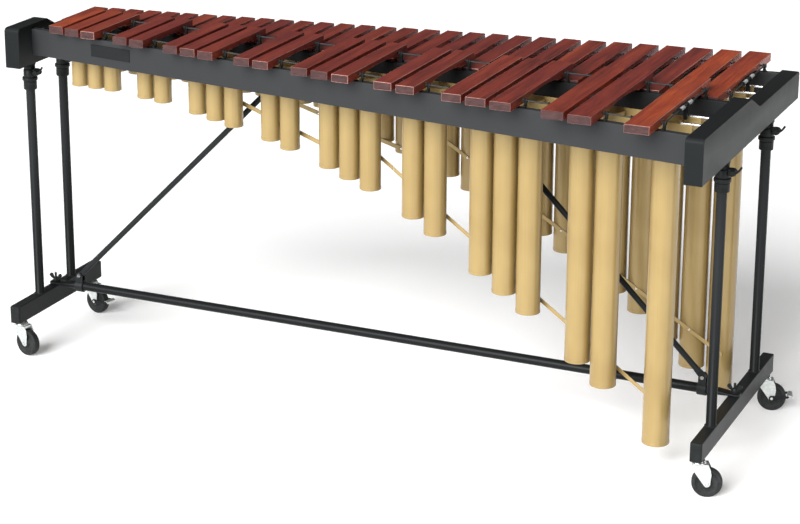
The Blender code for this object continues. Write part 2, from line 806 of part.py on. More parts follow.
def wheel_mesh():
    """Solid disc wheel standing on a flat of its tread; origin in its centre, axle along Y."""
    bore = AXLE_RADIUS + AXLE_PLAY
    half_side = math.pi / WHEEL_SIDES
    tread = WHEEL_RADIUS / math.cos(half_side)
    half = [
        (bore, 0.0120), (0.0120, 0.0120), (0.0140, 0.0070),
        (0.0270, 0.0070), (0.0300, 0.0105), (tread, 0.0080),
    ]
    profile = half + [(radius, -width) for radius, width in reversed(half)]
    bm = add_lathe(bmesh.new(), profile, axis="Y", sides=WHEEL_SIDES, phase=half_side)
    return to_mesh(bm, "caster_wheel")


def pedal_mesh():
    """Brake pedal that straddles the fork; origin in the wheel's axle."""
    arms = bmesh.new()
    for side in (-1, 1):
        outline = arc(0, 0, 0.0075, 100, 260, 5)
        outline += [(0.046, -0.0030), (0.046, 0.0030)]
        low, high = sorted((side * 0.0160, side * 0.0180))
        add_prism(arms, outline, xz_plate, low, high)
    outline = [(0.0425, 0.0005), (0.056, -0.002), (0.057, 0.0010), (0.0435, 0.0035)]
    tread = add_prism(bmesh.new(), outline, xz_plate, -0.0178, 0.0178)
    holes = add_disc(bmesh.new(), AXLE_RADIUS + AXLE_PLAY, -0.030, 0.030, axis="Y")
    bm = combine(combine(arms, tread), holes, "DIFFERENCE")
    tilt = Matrix.Rotation(-PEDAL_TILT, 3, "Y")
    bmesh.ops.rotate(bm, cent=(0, 0, 0), matrix=tilt, verts=bm.verts)
    return to_mesh(bm, "brake_pedal")


def casters(zinc, rubber):
    fork = fork_mesh()
    wheel = wheel_mesh()
    pedal = pedal_mesh()
    for side in SIDES:
        turn = CASTER_TURN[side]
        near, far = FOOT_Y[side]
        for y, end in ((near + CASTER_INSET, "near"), (far - CASTER_INSET, "far")):
            swivel = Vector((SIGN[side] * LEG_X, y, 0))
            axle = swivel + Matrix.Rotation(turn, 3, "Z") @ Vector((CASTER_TRAIL, 0, 0))
            axle.z = WHEEL_RADIUS
            tag = f"{side}_{end}"
            place(f"caster_fork_{tag}", fork, zinc, swivel, turn, smooth=True)
            place(f"caster_wheel_{tag}", wheel, rubber, axle, turn, smooth=True)
            if end == "far":
                place(f"brake_pedal_{tag}", pedal, zinc, axle, turn)


# ---------------------------------------------------------------- the instrument


def main():
    for old in list(bpy.data.objects):
        bpy.data.objects.remove(old)
    charcoal = material("charcoal_paint", (0.075, 0.080, 0.086), 0.42, 0.0)
    black_wood = material("black_rail", (0.045, 0.048, 0.052), 0.45, 0.0)
    black_steel = material("black_steel", (0.030, 0.032, 0.034), 0.38, 0.6)
    plate = material("plate", (0.015, 0.015, 0.016), 0.35, 0.0)
    rosewood = material("rosewood", (0.230, 0.050, 0.040), 0.40, 0.0)
    gold = material("gold_anodised", (0.760, 0.600, 0.260), 0.32, 0.9)
    zinc = material("zinc_plate", (0.600, 0.620, 0.620), 0.35, 0.9)
    black_rubber = material("black_rubber", (0.025, 0.026, 0.028), 0.60, 0.0)
    for side in SIDES:
        end_board(side, charcoal)
    rails(black_wood)
    name_plate(plate)
    bar_rows(rosewood)
    banks(gold)
    centre_hanger(black_steel)
    legs(black_steel)
    braces(black_steel)
    casters(zinc, black_rubber)


main()
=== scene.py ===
"""Concert marimba in a plain studio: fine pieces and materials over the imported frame."""
import math

import bmesh
import bpy
from mathutils import Matrix, Vector


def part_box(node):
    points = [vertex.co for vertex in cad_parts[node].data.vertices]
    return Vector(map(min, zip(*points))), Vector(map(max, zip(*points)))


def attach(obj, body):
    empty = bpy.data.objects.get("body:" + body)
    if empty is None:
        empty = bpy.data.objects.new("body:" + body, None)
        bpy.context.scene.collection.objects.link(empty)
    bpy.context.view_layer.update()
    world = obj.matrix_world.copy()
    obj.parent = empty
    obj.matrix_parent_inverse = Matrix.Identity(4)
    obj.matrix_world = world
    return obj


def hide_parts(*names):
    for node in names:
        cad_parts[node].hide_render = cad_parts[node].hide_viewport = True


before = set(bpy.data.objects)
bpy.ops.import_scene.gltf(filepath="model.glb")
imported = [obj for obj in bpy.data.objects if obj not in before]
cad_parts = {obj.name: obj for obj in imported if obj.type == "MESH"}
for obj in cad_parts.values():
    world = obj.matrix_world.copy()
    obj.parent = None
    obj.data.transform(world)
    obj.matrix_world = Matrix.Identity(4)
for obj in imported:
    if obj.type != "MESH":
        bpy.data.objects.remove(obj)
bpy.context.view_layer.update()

# The layout's own middle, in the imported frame: the stretcher is symmetrical about it.
STRETCHER_LOW, STRETCHER_HIGH = (Vector(corner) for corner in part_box("stretcher"))
BRACE_Y = 0.0142
SHIFT = (STRETCHER_LOW + STRETCHER_HIGH) / 2 - Vector((0, BRACE_Y, 0))
SHIFT.z = 0

# Frame.
HALF_LENGTH = 1.040
BOARD_THICKNESS = 0.046
BOARD_BOTTOM = 0.840
BOARD_HIGH_TOP = 0.9535
BOARD_LOW_TOP = 0.9145
INNER_X = HALF_LENGTH - BOARD_THICKNESS
BOARD_OUTLINE_Y = {"left": (-0.162, -0.012, 0.060, 0.185), "right": (-0.4345, -0.036, 0.049, 0.4345)}
GAP = 0.0003

# Bars and cords.
BAR_THICKNESS = 0.021
NATURAL_TOP = 0.937
ACCIDENTAL_TOP = 0.968
NATURAL_COUNT = 31
NOTE_CYCLE = "CBAGFED"
FIRST_NATURAL_X = -0.968
CORD_RADIUS = 0.002
HOLE_RADIUS = 0.0034
BAR_CORNER = 0.0042

# Rails: thickness, bottom and top.
NEAR_RAIL = (0.020, 0.8670, 0.941)
INNER_RAIL = (0.016, 0.883, 0.933)
PLAYER_INNER_RAIL = (0.016, 0.860, 0.905)
PLAYER_RAIL = (0.016, 0.850, 0.9105)
PLATE_SIZE = (0.002, 0.034)
PLATE_ENDS = (-0.784, -0.652)
PLATE_Z = 0.9085

# Resonators.
STRIP_THICKNESS = 0.003
STRIP_HEIGHT = 0.032
STRIP_BITE = 0.001
NEAR_BANK_TOP = 0.924
FAR_BANK_TOP = 0.900
BANK_SPLIT = 18.75
STRIP_SPANS = {
    ("accidental", "high"): (-0.955, 0.104), ("accidental", "low"): (0.106, 0.950),
    ("natural", "high"): (-0.985, 0.0465), ("natural", "low"): (0.0475, 0.960),
}
# Slanting strips of each half bank: start and end, each as x and z.
SLANTS = {
    ("accidental", "high"): (((-0.400, 0.799), (-0.050, 0.687)), ((0.030, 0.720), (0.104, 0.671))),
    ("accidental", "low"): (((0.106, 0.669), (0.900, 0.140)),),
    ("natural", "high"): (((-0.300, 0.747), (0.0465, 0.640)),),
    ("natural", "low"): (((0.100, 0.7147), (0.930, 0.1776)),),
}
# Length of the tubes along each bank, as bar number and length.
NEAR_TUBE_LENGTHS = (
    (2.5, 0.148), (5.0, 0.148), (7.5, 0.159), (9.5, 0.175), (13.5, 0.217), (16.5, 0.266),
    (18.5, 0.308), (20.5, 0.364), (21.5, 0.401), (25.5, 0.567), (28.5, 0.724), (30.5, 0.850),
)
FAR_TUBE_LENGTHS = (
    (1, 0.112), (7, 0.127), (11, 0.145), (14, 0.160), (17, 0.240), (20, 0.318),
    (21, 0.351), (24, 0.454), (25, 0.495), (28, 0.640), (30, 0.775), (31, 0.828),
)

# Stand.
LEG_X = 1.021
LEG_Y = {"left": (-0.073, 0.0965), "right": (-0.196, 0.201)}
FOOT_Y = {"left": (-0.206, 0.242), "right": (-0.323, 0.344)}
FOOT_WIDTH = 0.031
FOOT_BOTTOM = 0.100
FOOT_TOP = 0.151
LEG_RADIUS = 0.013
LEG_TOP = 0.785
INNER_POST_RADIUS = 0.0098
COLLAR_BOTTOM = 0.7605
COLLAR_TOP = 0.8185
LUG_X = 0.026
LUG_Z = 0.8115
STRETCHER_Z = 0.1565
STRETCHER_RADIUS = 0.0127
STRETCHER_HALF = 0.957
TONGUE_TOP = 0.1593
BRACE_RADIUS = 0.007
BRACE_FOOT = Vector((0.936, BRACE_Y, 0.1890))
BRACE_HEAD = Vector((0.264, BRACE_Y, 0.8620))
CASTER_INSET = 0.033
CASTER_TRAIL = 0.022
WHEEL_RADIUS = 0.0383
CASTER_TURN = {"left": math.radians(-12), "right": math.radians(16)}

SIDES = ("left", "right")
ENDS = ("near", "far")
SIGN = {"left": -1, "right": 1}


# --- layout


def natural_x(spot):
    """Middle of a natural bar, or of an accidental at a half place."""
    steps = spot - 1
    growth = steps * (steps - 1)
    return FIRST_NATURAL_X + 0.0553 * steps + growth * (0.0000495 + 0.000007 * (steps - 0.5))


NATURALS = list(range(1, NATURAL_COUNT + 1))
ACCIDENTALS = [spot + 0.5 for spot in range(1, NATURAL_COUNT) if NOTE_CYCLE[(spot - 1) % 7] not in "CF"]


def natural_width(x):
    return 0.0450 + 0.0085 * x + 0.0075 * x * x


def accidental_width(x):
    return 0.0463 + 0.0112 * x + 0.0080 * x * x


def near_cord_y(x):
    return -0.2165 - 0.139 * x


def inner_cord_y(x):
    return 0.0163 - 0.028 * x


def player_inner_cord_y(x):
    return 0.090


def player_cord_y(x):
    return 0.2865 + 0.122 * x


def near_rail_y(x):
    return near_cord_y(x) - 0.008


def player_rail_y(x):
    return player_cord_y(x) + 0.004


def accidental_ends(x):
    return -0.2859 - 0.1639 * x, 0.0773 - 0.0156 * x


def natural_ends(x):
    return inner_cord_y(x) + 0.010, 0.3725 + 0.1435 * x


def near_bank_y(x):
    return -0.1044 - 0.0897 * x


def far_bank_y(x):
    return 0.1900 + 0.0585 * x


def tube_radius(x):
    return 0.0280 + 0.0066 * x + 0.0016 * x * x


def between(keys, spot):
    """Straight-line reading of a table of (place, value) pairs."""
    for (place_a, value_a), (place_b, value_b) in zip(keys, keys[1:]):
        if spot <= place_b:
            share = (spot - place_a) / (place_b - place_a)
            return value_a + (value_b - value_a) * share
    return keys[-1][1]


def scatter(number):
    """A fixed, irregular value from 0 to 1 for a number."""
    return (math.sin(number * 12.9898 + 4.1) * 43758.5453) % 1.0


# --- node helpers


class Graph:
    """Small helper for building a material's nodes."""

    def __init__(self, name):
        self.made = bpy.data.materials.new(name)
        self.made.use_nodes = True
        self.nodes = self.made.node_tree.nodes
        self.links = self.made.node_tree.links
        self.shader = self.nodes["Principled BSDF"]

    def set(self, **values):
        for key, value in values.items():
            self.shader.inputs[key.replace("_", " ")].default_value = value

    def link(self, source, target):
        self.links.new(source, target)

    def paint(self, colour, roughness):
        self.link(colour, self.shader.inputs["Base Color"])
        self.link(roughness, self.shader.inputs["Roughness"])

    def feed(self, socket, value):
        """Link an output to a socket, or set the socket to a number or colour."""
        if isinstance(value, bpy.types.NodeSocket):
            self.link(value, socket)
        else:
            socket.default_value = (*value, 1) if isinstance(value, tuple) else value

    def coords(self, scale=(1, 1, 1), shift=None):
        """Object coordinates, stretched, and shifted by a vector output if one is given."""
        source = self.nodes.new("ShaderNodeTexCoord").outputs["Object"]
        if shift is not None:
            add = self.nodes.new("ShaderNodeVectorMath")
            self.link(source, add.inputs[0])
            self.link(shift, add.inputs[1])
            source = add.outputs[0]
        mapping = self.nodes.new("ShaderNodeMapping")
        mapping.inputs["Scale"].default_value = scale
        self.link(source, mapping.inputs["Vector"])
        return mapping.outputs[0]

    def noise(self, vector, scale, detail=3.0, roughness=0.55, distortion=0.0):
        node = self.nodes.new("ShaderNodeTexNoise")
        node.inputs["Scale"].default_value = scale
        node.inputs["Detail"].default_value = detail
        node.inputs["Roughness"].default_value = roughness
        node.inputs["Distortion"].default_value = distortion
        self.link(vector, node.inputs["Vector"])
        return node.outputs["Fac"]

    def ramp(self, fac, stops):
        node = self.nodes.new("ShaderNodeValToRGB")
        elements = node.color_ramp.elements
        while len(elements) < len(stops):
            elements.new(0.5)
        for element, (position, colour) in zip(elements, stops):
            element.position = position
            element.color = (*colour, 1) if len(colour) == 3 else colour
        self.link(fac, node.inputs["Fac"])
        return node.outputs["Color"]

    def mix(self, fac, colour_a, colour_b, blend="MIX"):
        node = self.nodes.new("ShaderNodeMix")
        node.data_type = "RGBA"
        node.blend_type = blend
        self.feed(node.inputs["Factor"], fac)
        self.feed(node.inputs[6], colour_a)
        self.feed(node.inputs[7], colour_b)
        return node.outputs[2]

    def spread(self, fac, low, high):
        """A factor from 0 to 1 read as a value from low to high."""
        node = self.nodes.new("ShaderNodeMapRange")
        node.inputs["To Min"].default_value = low
        node.inputs["To Max"].default_value = high
        self.link(fac, node.inputs["Value"])
        return node.outputs["Result"]

    def maths(self, operation, a, b):
        node = self.nodes.new("ShaderNodeMath")
        node.operation = operation
        self.feed(node.inputs[0], a)
        self.feed(node.inputs[1], b)
        return node.outputs[0]

    def bump(self, height, strength, distance):
        node = self.nodes.new("ShaderNodeBump")
        node.inputs["Strength"].default_value = strength
        node.inputs["Distance"].default_value = distance
        self.link(height, node.inputs["Height"])
        self.link(node.outputs["Normal"], self.shader.inputs["Normal"])

    def attribute(self, name):
        node = self.nodes.new("ShaderNodeAttribute")
        node.attribute_name = name
        return node.outputs

    def edges(self, low=0.50, high=0.56):
        """1 on convex edges, from the mesh's pointiness."""
        pointiness = self.nodes.new("ShaderNodeNewGeometry").outputs["Pointiness"]
        node = self.nodes.new("ShaderNodeMapRange")
        node.inputs["From Min"].default_value = low
        node.inputs["From Max"].default_value = high
        self.link(pointiness, node.inputs["Value"])
        return node.outputs["Result"]


# --- materials


def streaks(g):
    """Long grain along Y: colour factor, fine streaks and pores, different for each bar."""
    offset = g.attribute("offset")["Vector"]
    broad = g.noise(g.coords((1, 0.08, 1), offset), 34, 3, 0.6, 0.5)
    streak = g.noise(g.coords((1, 0.020, 1), offset), 240, 4, 0.65, 0.2)
    pores = g.noise(g.coords((1, 0.030, 1), offset), 950, 2, 0.5)
    grain = g.maths("ADD", g.maths("MULTIPLY", broad, 0.5), g.maths("MULTIPLY", streak, 0.5))
    return offset, grain, streak, pores


def rosewood():
    """Streaked red-brown hardwood along Y; the bar's tone attribute makes some bars more orange."""
    g = Graph("rosewood")
    tone = g.attribute("tone")["Fac"]
    offset, grain, streak, pores = streaks(g)
    clouds = g.noise(g.coords((1, 0.45, 1), offset), 11, 2)
    plain = g.ramp(grain, (
        (0.34, (0.050, 0.0075, 0.0075)), (0.45, (0.120, 0.0165, 0.0135)),
        (0.55, (0.175, 0.0240, 0.0175)), (0.68, (0.260, 0.0440, 0.0250)),
    ))
    bright = g.ramp(grain, (
        (0.34, (0.120, 0.0170, 0.0080)), (0.48, (0.300, 0.0430, 0.0130)), (0.68, (0.470, 0.0950, 0.0260)),
    ))
    share = g.maths("MULTIPLY", tone, g.spread(clouds, -0.15, 2.1))
    share.node.use_clamp = True
    colour = g.mix(share, plain, bright)
    dark = g.ramp(pores, ((0.30, (0.35, 0.30, 0.30)), (0.46, (1, 1, 1))))
    g.paint(g.mix(0.65, colour, dark, "MULTIPLY"), g.spread(streak, 0.34, 0.56))
    g.set(Coat_Weight=0.04, Coat_Roughness=0.25, Specular_IOR_Level=0.22)
    g.bump(g.maths("ADD", streak, pores), 0.18, 0.0004)
    return g.made


def rosewood_painted_highlight():
    """The bars' rounded edges: a lighter colour painted on as a highlight, and a little polished."""
    g = Graph("rosewood_painted_highlight")
    offset, grain, streak, pores = streaks(g)
    # Painted highlight: the lighter ramp stands in for light caught along the rounded edges.
    colour = g.ramp(grain, (
        (0.38, (0.180, 0.060, 0.048)), (0.52, (0.330, 0.150, 0.120)), (0.66, (0.460, 0.240, 0.200)),
    ))
    dark = g.ramp(pores, ((0.30, (0.45, 0.40, 0.40)), (0.46, (1, 1, 1))))
    g.paint(g.mix(0.5, colour, dark, "MULTIPLY"), g.spread(streak, 0.26, 0.44))
    g.set(Specular_IOR_Level=0.4)
    g.bump(streak, 0.10, 0.0003)
    return g.made


def rosewood_end():
    """End grain of the bars: greyer, with fine pores and faint rings."""
    g = Graph("rosewood_end")
    offset = g.attribute("offset")["Vector"]
    rings = g.noise(g.coords((0.35, 1, 1), offset), 160, 3, 0.6, 0.6)
    pores = g.noise(g.coords((1, 1, 1), offset), 1500, 2)
    colour = g.ramp(rings, (
        (0.30, (0.036, 0.0165, 0.0165)), (0.55, (0.058, 0.0270, 0.0260)), (0.75, (0.080, 0.0390, 0.0360)),
    ))
    dots = g.ramp(pores, ((0.36, (0.45, 0.42, 0.42)), (0.48, (1, 1, 1))))
    g.paint(g.mix(0.6, colour, dots, "MULTIPLY"), g.spread(rings, 0.52, 0.70))
    g.set(Specular_IOR_Level=0.2)
    g.bump(pores, 0.25, 0.0003)
    return g.made


def painted_board(name, colour, lighter, specular):
    """Satin paint on a wooden board: faint grain and orange peel under the paint, and edges painted
    lighter, partly as wear and partly as a painted highlight.
    """
    g = Graph(name)
    grain = g.noise(g.coords((1, 1, 12)), 38, 3, 0.6)
    peel = g.noise(g.coords(), 420, 2)
    marks = g.noise(g.coords(), 9, 4, 0.7)
    tone = g.mix(g.spread(marks, 0.15, 0.85), colour, lighter)
    # Edges mixed towards a lighter grey: partly wear, partly a painted highlight.
    wear_and_highlight = g.mix(g.maths("MULTIPLY", g.edges(0.51, 0.62), 0.55), tone, (0.080, 0.084, 0.085))
    g.paint(wear_and_highlight, g.spread(marks, 0.32, 0.48))
    g.set(Specular_IOR_Level=specular)
    g.bump(g.maths("ADD", grain, peel), 0.10, 0.0003)
    return g.made


def powder_coat(name="powder_coat", colour=(0.0038, 0.0045, 0.0047), rough=(0.26, 0.42)):
    """Black powder coat on metal: fine pebbling, and edges painted lighter, partly as rubbed wear and
    partly as a painted highlight.
    """
    g = Graph(name)
    pebble = g.noise(g.coords(), 1300, 2)
    rub = g.noise(g.coords(), 22, 4, 0.7)
    lighter = tuple(channel * 1.7 for channel in colour)
    tone = g.mix(rub, colour, lighter)
    # Edges mixed towards a lighter grey: partly rubbed wear, partly a painted highlight.
    wear_and_highlight = g.mix(g.maths("MULTIPLY", g.edges(), 0.30), tone, (0.040, 0.043, 0.045))
    g.paint(wear_and_highlight, g.spread(rub, *rough))
    g.set(Specular_IOR_Level=0.09)
    g.bump(pebble, 0.16, 0.0002)
    return g.made


def gold_anodised():
    """Satin gold anodised aluminium, drawn along Z."""
    g = Graph("gold_anodised")
    drawn = g.noise(g.coords((1, 1, 0.004)), 900, 3, 0.6)
    cloud = g.noise(g.coords((1, 1, 0.5)), 7, 3, 0.6)
    colour = g.ramp(cloud, (
        (0.30, (0.305, 0.236, 0.108)), (0.52, (0.350, 0.278, 0.132)), (0.72, (0.392, 0.318, 0.160)),
    ))
    streaked = g.mix(g.spread(drawn, 0.0, 0.30), colour, (0.190, 0.105, 0.036))
    g.paint(streaked, g.spread(drawn, 0.26, 0.42))
    g.set(Metallic=0.25, Specular_IOR_Level=0.3, Specular_Tint=(0.16, 0.08, 0.035, 1))
    g.set(Coat_Weight=0.85, Coat_Roughness=0.22, Coat_Tint=(1.0, 0.92, 0.76, 1))
    g.bump(drawn, 0.05, 0.0002)
    return g.made


def zinc_plate():
    """Zinc-plated stamped steel, a little cloudy."""
    g = Graph("zinc_plate")
    cloud = g.noise(g.coords(), 120, 4, 0.7)
    fine = g.noise(g.coords((1, 1, 4)), 900, 2)
    colour = g.ramp(cloud, ((0.3, (0.52, 0.55, 0.54)), (0.7, (0.74, 0.77, 0.75))))
    g.paint(colour, g.spread(cloud, 0.24, 0.46))
    g.set(Metallic=0.85)
    g.bump(g.maths("ADD", cloud, fine), 0.10, 0.0002)
    return g.made


def bright_steel():
    """Polished steel of the hanger pins, nuts and screws."""
    g = Graph("bright_steel")
    scratch = g.noise(g.coords((1, 6, 6)), 500, 3, 0.7)
    colour = g.ramp(scratch, ((0.3, (0.56, 0.57, 0.57)), (0.7, (0.78, 0.79, 0.79))))
    g.paint(colour, g.spread(scratch, 0.16, 0.34))
    g.set(Metallic=0.95)
    g.bump(scratch, 0.05, 0.0001)
    return g.made


def rubber():
    """Hard black rubber with dust in the pores."""
    g = Graph("black_rubber")
    dust = g.noise(g.coords(), 60, 4, 0.7)
    pores = g.noise(g.coords(), 1600, 2)
    colour = g.ramp(dust, ((0.35, (0.010, 0.011, 0.011)), (0.75, (0.030, 0.031, 0.032))))
    g.paint(colour, g.spread(dust, 0.46, 0.68))
    g.set(Specular_IOR_Level=0.15)
    g.bump(pores, 0.22, 0.0003)
    return g.made


def moulded_plastic():
    """Black moulded plastic with a fine spark texture."""
    g = Graph("moulded_plastic")
    spark = g.noise(g.coords(), 1100, 3, 0.6)
    cloud = g.noise(g.coords(), 50, 2)
    colour = g.ramp(cloud, ((0.3, (0.006, 0.0072, 0.0072)), (0.7, (0.012, 0.014, 0.014))))
    g.paint(colour, g.spread(spark, 0.36, 0.52))
    g.set(Specular_IOR_Level=0.15)
    g.bump(spark, 0.20, 0.0002)
    return g.made


def braided_cord(name, colour_a, colour_b):
    """Braided cord: small diagonal plaits."""
    g = Graph(name)
    wave = g.nodes.new("ShaderNodeTexWave")
    wave.bands_direction = "DIAGONAL"
    wave.inputs["Scale"].default_value = 260
    wave.inputs["Distortion"].default_value = 1.2
    g.link(g.coords(), wave.inputs["Vector"])
    plait = wave.outputs["Fac"]
    g.paint(g.ramp(plait, ((0.25, colour_a), (0.75, colour_b))), g.spread(plait, 0.62, 0.82))
    g.bump(plait, 0.4, 0.0004)
    return g.made


LOOKS = {
    "wood": rosewood(),
    "wood_end": rosewood_end(),
    "wood_painted_highlight": rosewood_painted_highlight(),
    "board": painted_board("charcoal_paint", (0.0022, 0.0034, 0.0036), (0.0038, 0.0052, 0.0056), 0.03),
    "rail": painted_board("rail_paint", (0.0105, 0.0115, 0.0132), (0.0150, 0.0160, 0.0182), 0.15),
    # Near-black copy of the rail paint for the inner rails: painted shade, standing in for the shade that
    # the bars cast on them.
    "inner_rail": painted_board(
        "inner_rail_paint", (0.0012, 0.0013, 0.0016), (0.0024, 0.0025, 0.0030), 0.02
    ),
    "steel": powder_coat(),
    "plate": powder_coat("plate_black", (0.0030, 0.0030, 0.0034), (0.30, 0.40)),
    "gold": gold_anodised(),
    "zinc": zinc_plate(),
    "bright": bright_steel(),
    "rubber": rubber(),
    "plastic": moulded_plastic(),
    "cord": braided_cord("black_cord", (0.008, 0.008, 0.009), (0.040, 0.040, 0.042)),
    "sleeve": braided_cord("grey_spring", (0.16, 0.17, 0.17), (0.62, 0.64, 0.64)),
}


# --- building blocks


def put(name, bm, look, body, at=(0, 0, 0), turn=0.0, nodes=(), bevel=0.0, smooth=None):
    """Finish a mesh as one piece that rides on a body."""
    bmesh.ops.recalc_face_normals(bm, faces=bm.faces)
    mesh = bpy.data.meshes.new(name)
    bm.to_mesh(mesh)
    bm.free()
    for key in (look if isinstance(look, tuple) else (look,)):
        mesh.materials.append(LOOKS[key])
    piece = bpy.data.objects.new(name, mesh)
    bpy.context.collection.objects.link(piece)
    piece.location = Vector(at) + SHIFT
    piece.rotation_euler = (0, 0, turn)
    if bevel:
        mesh.shade_smooth()
        edges = piece.modifiers.new("edges", "BEVEL")
        edges.width = bevel
        edges.segments = 3
        edges.limit_method = "ANGLE"
        edges.angle_limit = math.radians(38)
        edges.harden_normals = True
    elif smooth:
        mesh.shade_smooth()
        mesh.set_sharp_from_angle(angle=math.radians(smooth))
    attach(piece, body)
    if nodes:
        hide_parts(*nodes)
    return piece


def add_box(bm, low, high):
    size = [b - a for a, b in zip(low, high)]
    middle = [(a + b) / 2 for a, b in zip(low, high)]
    bmesh.ops.create_cube(bm, size=1.0, matrix=Matrix.Translation(middle) @ Matrix.Diagonal((*size, 1)))
    return bm


def add_prism(bm, outline, to_point, low, high):
    """Closed prism: to_point(u, v, w) places the outline's (u, v) at depth w."""
    ends = [[bm.verts.new(to_point(u, v, w)) for u, v in outline] for w in (low, high)]
    count = len(outline)
    caps = [bm.faces.new(list(reversed(ends[0]))), bm.faces.new(ends[1])]
    for i in range(count):
        j = (i + 1) % count
        bm.faces.new((ends[0][i], ends[0][j], ends[1][j], ends[1][i]))
    return caps


def xz_plate(u, v, w):
    return u, w, v


def yz_plate(u, v, w):
    return w, u, v


def xy_plate(u, v, w):
    return u, v, w


def arc(centre_u, centre_v, radius, start, end, steps):
    """Points on an arc, angles in degrees."""
    angles = [math.radians(start + (end - start) * step / steps) for step in range(steps + 1)]
    return [(centre_u + radius * math.cos(a), centre_v + radius * math.sin(a)) for a in angles]


def rounded(corners, steps=5):
    """Outline with each (u, v, radius) corner rounded."""
    points = []
    count = len(corners)
    for i, (u, v, radius) in enumerate(corners):
        here = Vector((u, v))
        before = (Vector(corners[i - 1][:2]) - here).normalized()
        after = (Vector(corners[(i + 1) % count][:2]) - here).normalized()
        half = before.angle(after) / 2
        reach = radius / math.tan(half)
        start, end = here + before * reach, here + after * reach
        centre = here + (before + after).normalized() * (radius / math.sin(half))
        for step in range(steps + 1):
            swung = (start - centre).slerp(end - centre, step / steps).normalized()
            points.append(tuple(centre + swung * radius))
    return points


def add_lathe(bm, profile, axis="Z", centre=(0, 0, 0), sides=40):
    """Turned solid from a closed (radius, height) profile; a radius of 0 is a point on the axis."""
    turn = {
        "Z": Matrix.Identity(3),
        "Y": Matrix.Rotation(math.radians(-90), 3, "X"),
        "X": Matrix.Rotation(math.radians(90), 3, "Y"),
    }[axis]
    centre = Vector(centre)
    rings = []
    for radius, height in profile:
        count = 1 if radius == 0 else sides
        ring = []
        for step in range(count):
            angle = 2 * math.pi * step / sides
            spot = Vector((radius * math.cos(angle), radius * math.sin(angle), height))
            ring.append(bm.verts.new(centre + turn @ spot))
        rings.append(ring)
    pairs = list(zip(rings, rings[1:])) + ([] if len(rings[0]) == 1 else [(rings[-1], rings[0])])
    for lower, upper in pairs:
        for i in range(sides):
            j = (i + 1) % sides
            if len(lower) == 1:
                bm.faces.new((lower[0], upper[i], upper[j]))
            elif len(upper) == 1:
                bm.faces.new((lower[i], lower[j], upper[0]))
            else:
                bm.faces.new((lower[i], lower[j], upper[j], upper[i]))
    return bm


def add_disc(bm, radius, low, high, axis="Z", centre=(0, 0, 0), sides=24, lip=0.0):
    """Short cylinder with optional softened rims."""
    rim = [(radius, low + lip), (radius, high - lip)] if lip else []
    profile = [(0, low), (radius - lip, low)] + rim + [(radius - lip, high), (0, high)]
    return add_lathe(bm, profile, axis, centre, sides)


def add_beam(bm, start, end, width, height):
    """Straight bar with upright end faces between two points on its centre line."""
    half_w, half_h = width / 2, height / 2
    corners = ((-half_w, -half_h), (half_w, -half_h), (half_w, half_h), (-half_w, half_h))
    start, end = Vector(start), Vector(end)

    def to_point(u, v, w):
        return start.lerp(end, w) + Vector((0, u, v))

    add_prism(bm, corners, to_point, 0.0, 1.0)
    return bm


def add_rod(bm, points, radius, sides=14):
    """Round rod swept along a polyline, with mitred corners and capped ends."""
    points = [Vector(point) for point in points]
    runs = [(b - a).normalized() for a, b in zip(points, points[1:])]
    helper = Vector((0, 0, 1)) if abs(runs[0].z) < 0.9 else Vector((1, 0, 0))
    side = runs[0].cross(helper).normalized()
    rings = []
    for i, point in enumerate(points):
        before = runs[max(i - 1, 0)]
        after = runs[min(i, len(runs) - 1)]
        mitre = (before + after).normalized()
        up = before.cross(side)
        ring = []
        for step in range(sides):
            angle = 2 * math.pi * (step + 0.5) / sides
            offset = side * (radius * math.cos(angle)) + up * (radius * math.sin(angle))
            offset -= before * (offset.dot(mitre) / before.dot(mitre))
            ring.append(bm.verts.new(point + offset))
        rings.append(ring)
        side = before.rotation_difference(after) @ side
    for lower, upper in zip(rings, rings[1:]):
        for i in range(sides):
            j = (i + 1) % sides
            bm.faces.new((lower[i], lower[j], upper[j], upper[i]))
    bm.faces.new(list(reversed(rings[0])))
    bm.faces.new(rings[-1])
    return bm


def curve_through(points, steps=6):
    """Smooth points through a short list of route points."""
    spots = [Vector(point) for point in points]
    spots = [spots[0]] + spots + [spots[-1]]
    smooth = []
    for a, b, c, d in zip(spots, spots[1:], spots[2:], spots[3:]):
        for step in range(steps):
            t = step / steps
            bend = (2 * a - 5 * b + 4 * c - d) * t * t + (3 * b - a - 3 * c + d) * t ** 3
            smooth.append(0.5 * (2 * b + (c - a) * t + bend))
    smooth.append(spots[-1])
    return smooth


# --- boards and rails


def end_board(side):
    near, step_start, step_end, far = BOARD_OUTLINE_Y[side]
    outline = rounded((
        (far, BOARD_BOTTOM, 0.002), (far, BOARD_LOW_TOP, 0.009), (step_end, BOARD_LOW_TOP, 0.014),
        (step_start, BOARD_HIGH_TOP, 0.010), (near, BOARD_HIGH_TOP, 0.012), (near, BOARD_BOTTOM, 0.002),
    ), 7)
    bm = bmesh.new()
    add_prism(bm, outline, yz_plate, *sorted((SIGN[side] * INNER_X, SIGN[side] * HALF_LENGTH)))
    put(f"board_{side}", bm, "board", "frame", nodes=(f"end_board_{side}",),
        bevel=0.0022)


def post_spots(spots, width_at):
    """X of the cord posts: between neighbouring bars and past the last bar."""
    places = [natural_x((a + b) / 2) for a, b in zip(spots, spots[1:]) if b - a < 1.5]
    for a, b in zip(spots, spots[1:]):
        if b - a >= 1.5:
            for bar, sign in ((a, 1), (b, -1)):
                middle = natural_x(bar)
                places.append(middle + sign * (width_at(middle) / 2 + 0.010))
    last = natural_x(spots[-1])
    places.append(last + width_at(last) / 2 + 0.010)
    return sorted(places)


